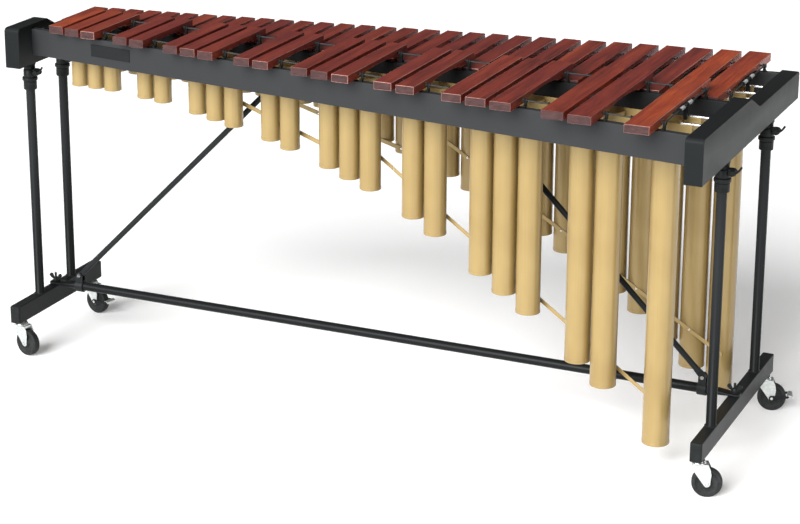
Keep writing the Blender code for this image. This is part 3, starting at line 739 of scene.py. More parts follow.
def cord_posts(name, places, cord_y, rail_y, rail_top, cord_z):
    """Posts on a rail: a foot plate, a stout blade and a head with a rubber bush round the cord."""
    bm = bmesh.new()
    bushes = bmesh.new()
    half = 0.0034
    for x in places:
        y = cord_y(x)
        middle = rail_y(x)
        add_box(bm, (x - 0.0045, middle - 0.0065, rail_top),
                (x + 0.0045, middle + 0.0065, rail_top + 0.0016))
        low_y = min(y - half, middle - half)
        high_y = max(y + half, middle + half)
        add_box(bm, (x - half, low_y, rail_top + 0.0010), (x + half, high_y, rail_top + 0.0060))
        add_box(bm, (x - half, y - half, rail_top + 0.0050), (x + half, y + half, cord_z + 0.0030))
        for face in (x + half, x - half):
            add_lathe(bushes, arc(0.0036, 0, 0.0018, 0, 360, 8)[:-1], "X", (face, y, cord_z), 16)
    put(f"cord_posts_{name}", bm, "plastic", "frame", bevel=0.0007)
    put(f"cord_bushes_{name}", bushes, "rubber", "frame", smooth=60)


def rail(name, rail_y, size, places, cord_y, cord_z, look):
    thickness, bottom, top = size
    reach = INNER_X - GAP
    middle = (bottom + top) / 2
    start, end = ((x, rail_y(x), middle) for x in (-reach, reach))
    bm = add_beam(bmesh.new(), start, end, thickness, top - bottom)
    put(f"rail_body_{name}", bm, look, "frame", nodes=(f"rail_{name}",), bevel=0.0015)
    cord_posts(name, places, cord_y, rail_y, top, cord_z)


def rails():
    high = ACCIDENTAL_TOP - BAR_THICKNESS / 2
    low = NATURAL_TOP - BAR_THICKNESS / 2
    accidental_posts = post_spots(ACCIDENTALS, accidental_width)
    natural_posts = post_spots(NATURALS, natural_width)
    rail("audience", near_rail_y, NEAR_RAIL, accidental_posts, near_cord_y, high, "rail")
    # The inner rails take the darker paint, which is painted shade.
    rail("accidental_inner", inner_cord_y, INNER_RAIL, accidental_posts, inner_cord_y, high, "inner_rail")
    rail("natural_inner", player_inner_cord_y, PLAYER_INNER_RAIL, natural_posts, player_inner_cord_y, low,
         "inner_rail")
    rail("player", player_rail_y, PLAYER_RAIL, natural_posts, player_cord_y, low, "rail")


def name_plate():
    """Blank plate on the near rail."""
    front = NEAR_RAIL[0] / 2 + GAP + PLATE_SIZE[0] / 2
    start, end = ((x, near_rail_y(x) - front, PLATE_Z) for x in PLATE_ENDS)
    bm = add_beam(bmesh.new(), start, end, *PLATE_SIZE)
    put("blank_plate", bm, "plate", "frame", nodes=("name_plate",), bevel=0.0008)


# --- bars and cords


def bar(name, spot, width, ends, top, cords, tone, group):
    """One bar with its tuning arch underneath, two cord holes and rounded far corners."""
    x = natural_x(spot)
    half = width / 2
    near, far = ends
    length = far - near
    depth = 0.009 + 0.004 * x
    outline = [(length, -BAR_THICKNESS), (length, 0), (0, 0), (0, -BAR_THICKNESS)]
    for step in range(19):
        share = step / 18
        rise = depth * math.sin(math.pi * share) ** 0.55
        outline.append((length * (0.24 + 0.52 * share), rise - BAR_THICKNESS))
    bm = bmesh.new()
    add_prism(bm, outline, yz_plate, -half, half)
    piece = put(name, bm, ("wood", "wood_end", "wood_painted_highlight"), "frame", at=(x, near, top),
                nodes=(group,), bevel=BAR_CORNER)
    drill = bmesh.new()
    for line in cords:
        slope = line(1.0) - line(0.0)
        middle = Vector((0, line(x) - near, -BAR_THICKNESS / 2))
        reach = Vector((1, slope, 0)) * (half + 0.01)
        add_rod(drill, (middle - reach, middle + reach), HOLE_RADIUS, 16)
    cut_holes(piece, drill, half, length)
    edges = piece.modifiers["edges"]
    edges.limit_method = "WEIGHT"
    # The bevel faces take the third material, whose lighter colour is a painted highlight along the edges.
    edges.material = 2
    mesh = piece.data
    values = mesh.attributes.new("tone", "FLOAT", "POINT")
    offsets = mesh.attributes.new("offset", "FLOAT_VECTOR", "POINT")
    shift = (scatter(spot * 3.7) * 9, scatter(spot * 1.3) * 9, scatter(spot * 7.1) * 9)
    for i in range(len(mesh.vertices)):
        values.data[i].value = tone
        offsets.data[i].vector = shift


def cut_holes(piece, drill, half, length):
    """Bake the cord holes into the bar's mesh, and weigh its edges for the bevel."""
    bmesh.ops.recalc_face_normals(drill, faces=drill.faces)
    tool_mesh = bpy.data.meshes.new("drill")
    drill.to_mesh(tool_mesh)
    drill.free()
    tool = bpy.data.objects.new("drill", tool_mesh)
    plain = bpy.data.objects.new("plain", piece.data.copy())
    for helper in (tool, plain):
        bpy.context.collection.objects.link(helper)
    cut = plain.modifiers.new("cut", "BOOLEAN")
    cut.operation = "DIFFERENCE"
    cut.solver = "EXACT"
    cut.object = tool
    evaluated = plain.evaluated_get(bpy.context.evaluated_depsgraph_get())
    drilled = bmesh.new()
    drilled.from_mesh(evaluated.to_mesh())
    weight = drilled.edges.layers.float.new("bevel_weight_edge")
    for edge in drilled.edges:
        a, b = (vert.co for vert in edge.verts)
        upright = abs(a.x - b.x) < 1e-5 and abs(a.y - b.y) < 1e-5
        on_far_corner = upright and abs(abs(a.x) - half) < 1e-5 and abs(a.y - length) < 1e-5
        if on_far_corner:
            edge[weight] = 1.0
        elif edge.calc_face_angle(0.0) > math.radians(38):
            edge[weight] = 0.32
    for face in drilled.faces:
        face.material_index = 1 if abs(face.normal.y) > 0.9 else 0
        face.smooth = True
    drilled.to_mesh(piece.data)
    drilled.free()
    for helper in (tool, plain):
        spent = helper.data
        bpy.data.objects.remove(helper)
        bpy.data.meshes.remove(spent)


# How orange single bars are; the others get a low value each.
WARM = {
    1: 0.55, 2: 0.42, 3: 0.40, 17: 0.35, 30: 0.95, 31: 0.90,
    2.5: 0.95, 3.5: 0.45, 4.5: 0.30, 30.5: 0.80,
}


def bars():
    natural_groups = [NATURALS[i:i + 7] for i in range(0, len(NATURALS), 7)]
    accidental_groups = [ACCIDENTALS[i:i + 5] for i in range(0, len(ACCIDENTALS), 5)]
    rows = (
        ("natural", natural_groups, natural_width, natural_ends, NATURAL_TOP,
         (player_inner_cord_y, player_cord_y)),
        ("accidental", accidental_groups, accidental_width, accidental_ends, ACCIDENTAL_TOP,
         (near_cord_y, inner_cord_y)),
    )
    for kind, groups, width_at, ends_at, top, lines in rows:
        count = 0
        for number, group in enumerate(groups, start=1):
            for spot in group:
                count += 1
                x = natural_x(spot)
                tone = WARM.get(spot, 0.04 + 0.26 * scatter(spot))
                bar(f"{kind}_bar_{count:02d}", spot, width_at(x), ends_at(x), top, lines, tone,
                    f"{kind}_bars_{number}")


def cords():
    """Each row hangs on one loop of cord, closed at the long end by a pair of spring sleeves."""
    rows = (
        ("accidental", ACCIDENTALS, accidental_width, near_cord_y, inner_cord_y, ACCIDENTAL_TOP),
        ("natural", NATURALS, natural_width, player_inner_cord_y, player_cord_y, NATURAL_TOP),
    )
    for kind, spots, width_at, first, second, top in rows:
        z = top - BAR_THICKNESS / 2
        left, right = natural_x(spots[0]), natural_x(spots[-1])
        from_x = max(left - width_at(left) / 2 - 0.010, -INNER_X + 0.004)
        to_x = right + width_at(right) / 2 + 0.010
        bend = 0.004
        first_y, second_y = first(to_x), second(to_x)
        route = [(from_x, first(from_x), z), (to_x - bend, first(to_x - bend), z)]
        route += [(to_x, first_y + bend, z), (to_x, second_y - bend, z)]
        route += [(to_x - bend, second(to_x - bend), z), (from_x, second(from_x), z)]
        bm = add_rod(bmesh.new(), route, CORD_RADIUS, 10)
        put(f"cord_{kind}", bm, "cord", "frame", smooth=50)
        sleeves = bmesh.new()
        middle = (first_y + second_y) / 2
        caps = bmesh.new()
        for low, high in ((middle - 0.052, middle - 0.010), (middle + 0.010, middle + 0.052)):
            add_disc(sleeves, 0.0046, low, high, "Y", (to_x, 0, z), 16, 0.0008)
            for cap in (low, high - 0.006):
                add_disc(caps, 0.0053, cap, cap + 0.006, "Y", (to_x, 0, z), 16, 0.0008)
        put(f"cord_sleeves_{kind}", sleeves, "sleeve", "frame", smooth=40)
        put(f"sleeve_caps_{kind}", caps, "plastic", "frame", smooth=40)
        post = bmesh.new()
        add_box(post, (to_x - 0.0045, middle - 0.0055, z - 0.034),
                (to_x + 0.0045, middle + 0.0055, z + 0.0045))
        put(f"end_post_{kind}", post, "steel", "frame", bevel=0.0012)


# --- resonators


def tube(name, x, y, radius, top, length, nodes):
    """Open-topped tube with a rolled foot and a seam where the stopper is set."""
    bottom = -length
    wall = 0.0014
    cap = radius + 0.0005
    profile = [(0, bottom + 0.0004), (radius - 0.004, bottom + 0.0002), (cap - 0.0009, bottom)]
    profile += [(cap, bottom + 0.0009), (cap, bottom + 0.0080), (radius, bottom + 0.0086)]
    profile += [(radius, -0.0006), (radius - 0.0005, 0.0), (radius - wall + 0.0004, 0.0)]
    profile += [(radius - wall, -0.0006), (radius - wall, bottom + 0.012), (0, bottom + 0.012)]
    bm = add_lathe(bmesh.new(), profile, sides=48)
    put(name, bm, "gold", "frame", at=(x, y, top), nodes=nodes, smooth=32)


def screw(bm, x, y, z, side, radius=0.0032):
    """Domed screw head on a strip face that looks towards -Y or +Y."""
    profile = [(0, 0), (radius, 0), (radius * 0.9, 0.0009), (radius * 0.5, 0.0015), (0, 0.0017)]
    add_lathe(bm, [(r, h * side) for r, h in profile], "Y", (x, y, z), 12)


def bank(kind, half, spots, lengths, middle_y, top, span, brace_side, brace_runs, pin_side):
    """Half of a bank: its tubes, side strips, slanting strip, screws and hanger pins."""
    low_x, high_x = span
    node = f"resonators_{kind}_{half}"
    for spot in spots:
        x = natural_x(spot)
        name = f"tube_{kind}_{spot:g}".replace(".5", "_half")
        tube(name, x, middle_y(x), tube_radius(x), top, between(lengths, spot), (node,))

    def strip_y(x, side):
        return middle_y(x) + side * (tube_radius(x) - STRIP_BITE + STRIP_THICKNESS / 2)

    strips = bmesh.new()
    heads = bmesh.new()
    middle = top - STRIP_HEIGHT / 2
    face = STRIP_THICKNESS / 2
    for side in (-1, 1):
        start, end = ((x, strip_y(x, side), middle) for x in (low_x, high_x))
        add_beam(strips, start, end, STRIP_THICKNESS, STRIP_HEIGHT)
        for spot in spots:
            x = natural_x(spot)
            screw(heads, x, strip_y(x, side) + side * face, middle - 0.002, side)
    for (start_x, start_z), (end_x, end_z) in brace_runs:
        start = (start_x, strip_y(start_x, brace_side), start_z)
        end = (end_x, strip_y(end_x, brace_side), end_z)
        add_beam(strips, start, end, STRIP_THICKNESS, 0.012)
        for spot in spots:
            x = natural_x(spot)
            if start_x < x < end_x:
                z = start_z + (end_z - start_z) * (x - start_x) / (end_x - start_x)
                screw(heads, x, strip_y(x, brace_side) + brace_side * face, z, brace_side)
    put(f"bank_strips_{kind}_{half}", strips, "gold", "frame", bevel=0.0007)
    put(f"bank_screws_{kind}_{half}", heads, "bright", "frame", smooth=50)
    pins = bmesh.new()
    for side in (-1, 1):
        outside = SIGN[pin_side] * (INNER_X - GAP)
        inside = high_x - 0.030 if pin_side == "right" else low_x + 0.030
        y = strip_y(inside, side)
        add_rod(pins, ((inside, y, top + 0.0015), (outside, y, top + 0.0015)), 0.0030)
        cup = outside - SIGN[pin_side] * 0.006
        add_disc(pins, 0.0075, *sorted((cup, outside)), axis="X", centre=(0, y, top + 0.0015), lip=0.001)
    put(f"hanger_pins_{kind}_{half}", pins, "bright", "frame", smooth=40)


def banks():
    for kind, spots, lengths, middle_y, top, brace_side in (
        ("accidental", ACCIDENTALS, NEAR_TUBE_LENGTHS, near_bank_y, NEAR_BANK_TOP, 1),
        ("natural", NATURALS, FAR_TUBE_LENGTHS, far_bank_y, FAR_BANK_TOP, -1),
    ):
        groups = {
            "high": [spot for spot in spots if spot < BANK_SPLIT],
            "low": [spot for spot in spots if spot > BANK_SPLIT],
        }
        for half, pin_side in (("high", "left"), ("low", "right")):
            bank(kind, half, groups[half], lengths, middle_y, top, STRIP_SPANS[kind, half], brace_side,
                 SLANTS[kind, half], pin_side)


def centre_hanger():
    """Bent rod that carries the banks where their halves meet, ending in a small gold eye."""
    x = 0.098
    front = inner_cord_y(x) - INNER_RAIL[0] / 2 - GAP
    rest = NEAR_BANK_TOP + GAP + 0.003
    route = (
        (x, front, 0.912), (x, front - 0.012, 0.912), (x, front - 0.030, 0.926),
        (x, -0.055, rest + 0.006), (x, -0.088, rest),
    )
    bm = add_rod(bmesh.new(), curve_through(route), 0.0028)
    put("hanger_hook", bm, "steel", "frame", nodes=("centre_hanger",), smooth=50)
    eye = [(0.0046 + u, v) for u, v in arc(0, 0, 0.0015, 0, 360, 10)[:-1]]
    ring = add_lathe(bmesh.new(), eye, "Y", (x, -0.086, rest), 20)
    put("hanger_eye", ring, "gold", "frame", smooth=60)


# --- stand


def foot_beam(side):
    """Box-section foot with plastic end plugs."""
    x = SIGN[side] * LEG_X
    near, far = FOOT_Y[side]
    half = FOOT_WIDTH / 2
    bm = add_box(bmesh.new(), (x - half, near + 0.003, FOOT_BOTTOM), (x + half, far - 0.003, FOOT_TOP))
    put(f"foot_{side}", bm, "steel", "stand", nodes=(f"foot_beam_{side}",),
        bevel=0.0024)
    plugs = bmesh.new()
    for low, high in ((near, near + 0.004), (far - 0.004, far)):
        add_box(plugs, (x - half + 0.0007, low, FOOT_BOTTOM + 0.0007),
                (x + half - 0.0007, high, FOOT_TOP - 0.0007))
    put(f"foot_plugs_{side}", plugs, "plastic", "stand", bevel=0.0020)


def leg(side, end):
    """Outer post with its clamp collar, bolt and lever, and the inner post that slides in it."""
    x = SIGN[side] * LEG_X
    y = LEG_Y[side][ENDS.index(end)]
    tag = f"{side}_{end}"
    bead = 0.0035
    outer = [(LEG_RADIUS - 0.002, FOOT_TOP), (LEG_RADIUS + bead, FOOT_TOP)]
    outer += [(LEG_RADIUS + 0.0012, FOOT_TOP + 0.0018), (LEG_RADIUS, FOOT_TOP + bead)]
    outer += [(LEG_RADIUS, LEG_TOP), (LEG_RADIUS - 0.002, LEG_TOP)]
    put(f"leg_{tag}", add_lathe(bmesh.new(), outer), "steel", "stand", at=(x, y, 0),
        nodes=(f"leg_post_{tag}",), smooth=40)
    sleeve, ring, clamp = 0.0186, 0.0216, 0.0176
    bore = LEG_RADIUS + 0.0006
    profile = [(bore, COLLAR_BOTTOM), (sleeve - 0.001, COLLAR_BOTTOM), (sleeve, COLLAR_BOTTOM + 0.001)]
    profile += [(sleeve, 0.7825), (sleeve - 0.0012, 0.7835), (sleeve - 0.0012, 0.7848)]
    profile += arc(ring - 0.003, 0.7885, 0.003, -80, 0, 3) + arc(ring - 0.003, 0.7930, 0.003, 0, 80, 3)
    profile += [(clamp, 0.7975), (clamp, 0.8165), (clamp - 0.0016, COLLAR_TOP)]
    inner_bore = INNER_POST_RADIUS + 0.0006
    profile += [(inner_bore, COLLAR_TOP), (inner_bore, 0.786), (bore, 0.786)]
    put(f"collar_{tag}", add_lathe(bmesh.new(), profile), "plastic", "stand", at=(x, y, 0),
        nodes=(f"post_collar_{tag}",), smooth=40)
    lugs = bmesh.new()
    for sign in (-1, 1):
        low, high = sorted((sign * 0.0016, sign * 0.0090))
        ear = [(0.0150, LUG_Z - 0.009), (LUG_X, LUG_Z - 0.009)] + arc(LUG_X, LUG_Z, 0.009, -90, 90, 8)[1:]
        add_prism(lugs, ear + [(0.0150, LUG_Z + 0.009)], xz_plate, low, high)
    put(f"collar_lugs_{tag}", lugs, "plastic", "stand", at=(x, y, 0), bevel=0.0009)
    bolt = add_disc(bmesh.new(), 0.0036, -0.0100, 0.0130, axis="Y", centre=(LUG_X, 0, LUG_Z), lip=0.0005)
    nut = add_disc(bolt, 0.0062, 0.0092, 0.0125, axis="Y", centre=(LUG_X, 0, LUG_Z), sides=6, lip=0.0004)
    put(f"collar_bolt_{tag}", nut, "bright", "stand", at=(x, y, 0), smooth=30)
    sweep = ((0, 0, 0), (0.008, 0, 0.0015), (0.015, 0, 0.0065), (0.021, 0, 0.0140), (0.0235, 0, 0.0185))
    arm = add_rod(bmesh.new(), curve_through(sweep), 0.0027, 12)
    bmesh.ops.translate(arm, vec=(0, -0.0125, 0), verts=arm.verts)
    add_disc(arm, 0.0075, -0.0165, -0.0094, axis="Y", lip=0.001)
    put(f"lever_{tag}", arm, "plastic", f"lever_{tag}", at=(x + LUG_X, y, LUG_Z),
        nodes=(f"clamp_lever_{tag}",), smooth=40)
    flange = 0.0160
    profile = [(0, 0.502), (INNER_POST_RADIUS - 0.001, 0.502), (INNER_POST_RADIUS, 0.504)]
    profile += [(INNER_POST_RADIUS, 0.8196), (flange - 0.001, 0.8196), (flange, 0.8208), (flange, 0.8300)]
    profile += [(0.0178, 0.8340), (0.0178, BOARD_BOTTOM - GAP), (0, BOARD_BOTTOM - GAP)]
    put(f"sliding_post_{tag}", add_lathe(bmesh.new(), profile), "steel", "frame", at=(x, y, 0),
        nodes=(f"inner_post_{tag}",), smooth=40)


def stretcher():
    """Round tube whose ends are flattened over the foot beams."""
    tip = LEG_X + FOOT_WIDTH / 2
    flat = (TONGUE_TOP - FOOT_TOP - GAP) / 2
    flat_z = (TONGUE_TOP + FOOT_TOP + GAP) / 2
    # Distance from the middle, half width, half height and centre height of each section.
    keys = (
        (STRETCHER_HALF - 0.016, STRETCHER_RADIUS, STRETCHER_RADIUS, STRETCHER_Z),
        (STRETCHER_HALF - 0.006, 0.0130, 0.0112, STRETCHER_Z),
        (STRETCHER_HALF + 0.020, 0.0145, 0.0068, 0.1560), (STRETCHER_HALF + 0.046, 0.0150, flat, flat_z),
        (tip - 0.008, 0.0150, flat, flat_z), (tip - 0.002, 0.0120, flat, flat_z),
        (tip, 0.0085, flat * 0.8, flat_z),
    )
    sections = [(-x, w, h, z) for x, w, h, z in reversed(keys)] + list(keys)
    bm = bmesh.new()
    sides = 32
    rings = []
    for x, width, height, z in sections:
        power = 1.0 if height > 0.0100 else 0.45
        ring = []
        for step in range(sides):
            angle = 2 * math.pi * step / sides
            c, s = math.cos(angle), math.sin(angle)
            y = BRACE_Y + width * math.copysign(abs(c) ** power, c)
            ring.append(bm.verts.new((x, y, z + height * math.copysign(abs(s) ** power, s))))
        rings.append(ring)
    for lower, upper in zip(rings, rings[1:]):
        for i in range(sides):
            j = (i + 1) % sides
            bm.faces.new((lower[i], lower[j], upper[j], upper[i]))
    bm.faces.new(list(reversed(rings[0])))
    bm.faces.new(rings[-1])
    put("stretcher_tube", bm, "steel", "stand", nodes=("stretcher",), smooth=50)


def wing_knob(side):
    """Two-winged knob with its screw end, on the stretcher's flattened tongue."""
    low = GAP
    profile = [(0, low), (0.0110, low), (0.0118, low + 0.0008), (0.0118, 0.0022), (0.0078, 0.0036)]
    profile += [(0.0068, 0.0105), (0.0052, 0.0125), (0.0033, 0.0130), (0.0033, 0.0250), (0.0026, 0.0260)]
    profile.append((0, 0.0260))
    bm = add_lathe(bmesh.new(), profile, sides=28)
    for sign in (-1, 1):
        outline = [(sign * 0.003, 0.004), (sign * 0.010, 0.006)]
        outline += [(sign * u, v) for u, v in arc(0.0145, 0.0165, 0.0055, -60, 150, 12)]
        outline += [(sign * 0.006, 0.0105), (sign * 0.003, 0.0105)]
        add_prism(bm, outline, xz_plate, -0.0021, 0.0021)
    put(f"knob_{side}", bm, "plastic", f"knob_{side}", at=(SIGN[side] * LEG_X, BRACE_Y, TONGUE_TOP),
        nodes=(f"wing_knob_{side}",), smooth=40)


def brace(side):
    """Diagonal brace: its sliding collar and pin below, its clevis and bolts above."""
    sign = SIGN[side]
    foot = (sign * BRACE_FOOT.x, BRACE_FOOT.y, BRACE_FOOT.z)
    drop = STRETCHER_Z - BRACE_FOOT.z
    bore, ring = STRETCHER_RADIUS + 0.0006, 0.0178
    profile = [(bore, -0.0125), (ring - 0.001, -0.0125), (ring, -0.0115)]
    profile += [(ring, 0.0115), (ring - 0.001, 0.0125), (bore, 0.0125)]
    bm = add_lathe(bmesh.new(), profile, "X", (0, 0, drop), 40)
    for ear_side in (-1, 1):
        base = drop + bore + 0.001
        outline = [(-0.010, base), (0.010, base)] + arc(0, 0, 0.010, 0, 180, 12)
        low, high = sorted((ear_side * 0.0066, ear_side * 0.0101))
        add_prism(bm, outline, xz_plate, low, high)
    put(f"slider_{side}", bm, "steel", f"slider_{side}", at=foot,
        nodes=(f"brace_collar_{side}",), smooth=35)
    pin = add_disc(bmesh.new(), 0.0029, -0.0120, 0.0120, axis="Y", lip=0.0004)
    add_disc(pin, 0.0052, -0.0128, -0.0101, axis="Y", lip=0.0005)
    add_disc(pin, 0.0052, 0.0101, 0.0128, axis="Y", lip=0.0005)
    put(f"slider_pin_{side}", pin, "bright", f"slider_{side}", at=foot, smooth=40)
    toward = -sign
    head = Vector((toward * (BRACE_FOOT.x - BRACE_HEAD.x), 0, BRACE_HEAD.z - BRACE_FOOT.z))
    along = head.normalized()
    across = Vector((-along.z, 0, along.x))
    rod = add_rod(bmesh.new(), (along * 0.0150, head - along * 0.0230), BRACE_RADIUS + 0.0008, 24)
    for centre, inward in ((Vector(), along), (head, -along)):
        start = math.degrees(math.atan2(-inward.z, -inward.x))
        outline = arc(centre.x, centre.z, 0.0088, start - 90, start + 90, 12)
        reach = centre + inward * 0.028
        outline += tongue_root(outline[-1], reach, across * 0.0068)
        add_prism(rod, outline, xz_plate, -0.0050, 0.0050)
    put(f"diagonal_{side}", rod, "steel", f"diagonal_{side}", at=foot,
        nodes=(f"brace_{side}",), smooth=35)
    top = INNER_RAIL[1] - GAP - BRACE_HEAD.z
    bracket = add_box(bmesh.new(), (-0.022, -0.022, top - 0.003), (0.022, 0.022, top))
    for ear_side in (-1, 1):
        outline = [(0.012, top - 0.001), (-0.012, top - 0.001)] + arc(0, 0, 0.012, 180, 360, 12)
        low, high = sorted((ear_side * 0.0097, ear_side * 0.0123))
        add_prism(bracket, outline, xz_plate, low, high)
    at = (sign * BRACE_HEAD.x, BRACE_HEAD.y, BRACE_HEAD.z)
    put(f"clevis_{side}", bracket, "steel", "frame", at=at,
        nodes=(f"brace_bracket_{side}",), bevel=0.0006)
    bolts = bmesh.new()
    for ear_side in (-1, 1):
        low, high = sorted((ear_side * 0.0120, ear_side * 0.0165))
        add_disc(bolts, 0.0055, low, high, axis="Y", sides=6, lip=0.0005)
    put(f"clevis_bolts_{side}", bolts, "bright", "frame", at=at, smooth=30)


def tongue_root(last, reach, across):
    """The two corners of a tongue's root, the nearer to the outline's last point first."""
    corners = [Vector((spot.x, spot.z)) for spot in (reach + across, reach - across)]
    return sorted(corners, key=lambda corner: (corner - Vector(last)).length)


# --- casters


def caster(side, end):
    """Swivel caster on a foot beam; the far ones carry a brake pedal."""
    near, far = FOOT_Y[side]
    y = near + CASTER_INSET if end == "near" else far - CASTER_INSET
    turn = CASTER_TURN[side]
    tag = f"{side}_{end}"
    swivel = Vector((SIGN[side] * LEG_X, y, 0))
    axle = swivel + Matrix.Rotation(turn, 3, "Z") @ Vector((CASTER_TRAIL, 0, 0))
    axle.z = WHEEL_RADIUS
    body = f"caster_{tag}"
    # Stem, ball race and crown.
    profile = [(0, 0.0845), (0.0150, 0.0845), (0.0172, 0.0858), (0.0186, 0.0880), (0.0190, 0.0905)]
    profile += [(0.0182, 0.0925), (0.0160, 0.0935), (0.0168, 0.0945), (0.0160, 0.0960), (0.0092, 0.0964)]
    profile += [(0.0092, FOOT_BOTTOM - GAP), (0, FOOT_BOTTOM - GAP)]
    put(f"race_{tag}", add_lathe(bmesh.new(), profile), "bright", body, at=swivel, turn=turn, smooth=50)
    fork = bmesh.new()
    crown = rounded((
        (-0.017, -0.0150, 0.007), (0.025, -0.0150, 0.004), (0.025, 0.0150, 0.004), (-0.017, 0.0150, 0.007),
    ), 5)
    add_prism(fork, crown, xy_plate, 0.0862, 0.0888)
    for cheek in (-1, 1):
        outline = [(-0.0170, 0.0885), (-0.0150, 0.0790), (-0.0110, 0.0700)]
        outline += arc(CASTER_TRAIL, WHEEL_RADIUS, 0.0085, 205, 375, 12)
        outline += [(0.0325, 0.0620), (0.0300, 0.0760), (0.0240, 0.0885)]
        low, high = sorted((cheek * 0.0130, cheek * 0.0153))
        add_prism(fork, outline, xz_plate, low, high)
        low, high = sorted((cheek * 0.0150, cheek * 0.0164))
        add_disc(fork, 0.0066, low, high, "Y", (CASTER_TRAIL, 0, WHEEL_RADIUS), 28, 0.0004)
    put(f"fork_{tag}", fork, "zinc", body, at=swivel, turn=turn,
        nodes=(f"caster_fork_{tag}",), bevel=0.0007)
    nuts = bmesh.new()
    for cheek in (-1, 1):
        low, high = sorted((cheek * 0.0162, cheek * 0.0192))
        add_disc(nuts, 0.0044, low, high, axis="Y", sides=6, lip=0.0004)
    add_disc(nuts, 0.0034, -0.0165, 0.0165, axis="Y", sides=20)
    put(f"axle_{tag}", nuts, "bright", body, at=axle, turn=turn, smooth=30)
    bore = 0.0046
    half = [(bore, 0.0118), (0.0112, 0.0118), (0.0122, 0.0110), (0.0138, 0.0078), (0.0160, 0.0072)]
    half += [(0.0262, 0.0072), (0.0278, 0.0080), (0.0292, 0.0100), (0.0320, 0.0104), (0.0358, 0.0100)]
    half += [(0.0376, 0.0082), (WHEEL_RADIUS, 0.0050), (WHEEL_RADIUS, 0.0)]
    profile = half + [(r, -w) for r, w in reversed(half[:-1])]
    wheel = add_lathe(bmesh.new(), profile, "Y", sides=64)
    put(f"wheel_{tag}", wheel, "rubber", f"wheel_{tag}", at=axle, turn=turn,
        nodes=(f"caster_wheel_{tag}",), smooth=32)
    if end == "far":
        pedal(tag, axle, turn)


def pedal(tag, axle, turn):
    """Brake pedal: two black arms that straddle the fork, and a small curled zinc tread."""
    arms = bmesh.new()
    for sign in (-1, 1):
        outline = arc(0, 0, 0.0078, 100, 260, 12)
        outline += [(0.020, -0.0046), (0.0445, -0.0030), (0.0470, 0.0002)]
        outline += [(0.0440, 0.0030), (0.020, 0.0046)]
        low, high = sorted((sign * 0.0167, sign * 0.0180))
        add_prism(arms, outline, xz_plate, low, high)
    tread = bmesh.new()
    upper = ((0.0425, 0.0030), (0.0470, 0.0052), (0.0520, 0.0040), (0.0560, 0.0005), (0.0562, -0.0030))
    lower = [(u - 0.0010, v - 0.0013) for u, v in reversed(upper)]
    add_prism(tread, list(upper) + lower, xz_plate, -0.0178, 0.0178)
    tilt = Matrix.Rotation(math.radians(-8), 3, "Y")
    for bm in (arms, tread):
        bmesh.ops.rotate(bm, cent=(0, 0, 0), matrix=tilt, verts=bm.verts)
    put(f"pedal_{tag}", arms, "steel", f"brake_{tag}", at=axle, turn=turn,
        nodes=(f"brake_pedal_{tag}",), bevel=0.0004)
    put(f"tread_{tag}", tread, "zinc", f"brake_{tag}", at=axle, turn=turn, bevel=0.0004)


# --- studio


def studio():
    bm = bmesh.new()
    bmesh.ops.create_grid(bm, x_segments=1, y_segments=1, size=30)
    stage_piece("floor", bm, (0.90, 0.90, 0.90, 1), 0.15)
    backdrop()
    world = bpy.data.worlds.new("studio")
    bpy.context.scene.world = world
    world.use_nodes = True
    sky = world.node_tree.nodes["Background"].inputs
    sky["Color"].default_value = (1, 1, 1, 1)
    sky["Strength"].default_value = 0.16
    sun = bpy.data.lights.new("sun", "SUN")
    sun.energy = 7.0
    sun.angle = math.radians(46)
    lamp = bpy.data.objects.new("sun", sun)
    aim(lamp, (-1.1, -6.1, 3.2), (0, 0, 0))
    bpy.context.collection.objects.link(lamp)
    add_area("fill", (3.0, -1.2, 1.1), (1.04, -0.1, 0.8), 1.0, 14)
    add_area("side", (3.0, 2.9, 0.8), (1.04, 0.0, 0.85), 1.8, 17)


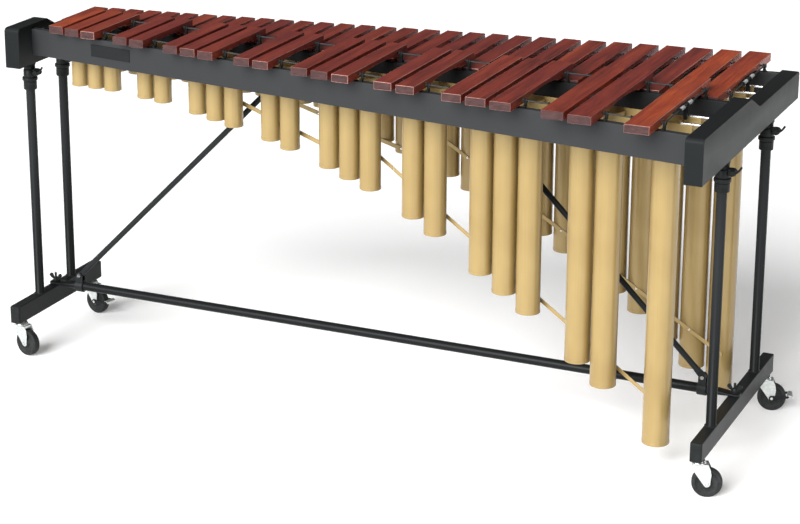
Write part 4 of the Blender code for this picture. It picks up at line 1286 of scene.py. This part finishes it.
def stage_piece(name, bm, colour, glow):
    """Matt, slightly glowing background piece that isn't part of the instrument."""
    mesh = bpy.data.meshes.new(name)
    bm.to_mesh(mesh)
    bm.free()
    piece = bpy.data.objects.new(name, mesh)
    bpy.context.collection.objects.link(piece)
    paint = Graph(name)
    paint.set(Base_Color=colour, Roughness=0.9, Specular_IOR_Level=0.1)
    paint.set(Emission_Color=(1, 1, 1, 1), Emission_Strength=glow)
    mesh.materials.append(paint.made)
    return piece


def backdrop():
    """White dome behind everything, seen only by the camera, so it neither lights nor shades."""
    bm = bmesh.new()
    bmesh.ops.create_icosphere(bm, subdivisions=4, radius=28)
    dome = stage_piece("backdrop", bm, (0, 0, 0, 1), 1.0)
    dome.data.shade_smooth()
    dome.visible_diffuse = False
    dome.visible_glossy = False
    dome.visible_transmission = False
    dome.visible_shadow = False


def aim(lamp, position, target):
    lamp.location = position
    lamp.rotation_euler = (Vector(target) - Vector(position)).to_track_quat("-Z", "Y").to_euler()


def add_area(name, position, target, size, watts):
    light = bpy.data.lights.new(name, "AREA")
    light.size = size
    light.energy = watts
    lamp = bpy.data.objects.new(name, light)
    aim(lamp, position, target)
    bpy.context.collection.objects.link(lamp)


def camera():
    """Camera from the audience's right, looking down at the instrument."""
    tilt_down = math.radians(17.203)
    lens = bpy.data.cameras.new("camera")
    lens.lens = 102.00
    lens.sensor_width = 36.0
    lens.shift_x = 0.0325
    lens.shift_y = -0.10
    lens.clip_end = 200
    eye = bpy.data.objects.new("camera", lens)
    eye.location = Vector((2.4328, -5.2773, 2.3960)) + SHIFT
    eye.rotation_euler = (math.radians(90) - tilt_down, 0, math.radians(24.668))
    bpy.context.collection.objects.link(eye)
    bpy.context.scene.camera = eye


def main():
    camera()
    studio()
    for side in SIDES:
        end_board(side)
        foot_beam(side)
        wing_knob(side)
        brace(side)
        for end in ENDS:
            leg(side, end)
            caster(side, end)
    rails()
    name_plate()
    bars()
    cords()
    banks()
    centre_hanger()
    stretcher()
    bpy.context.scene.view_settings.view_transform = "Standard"


main()
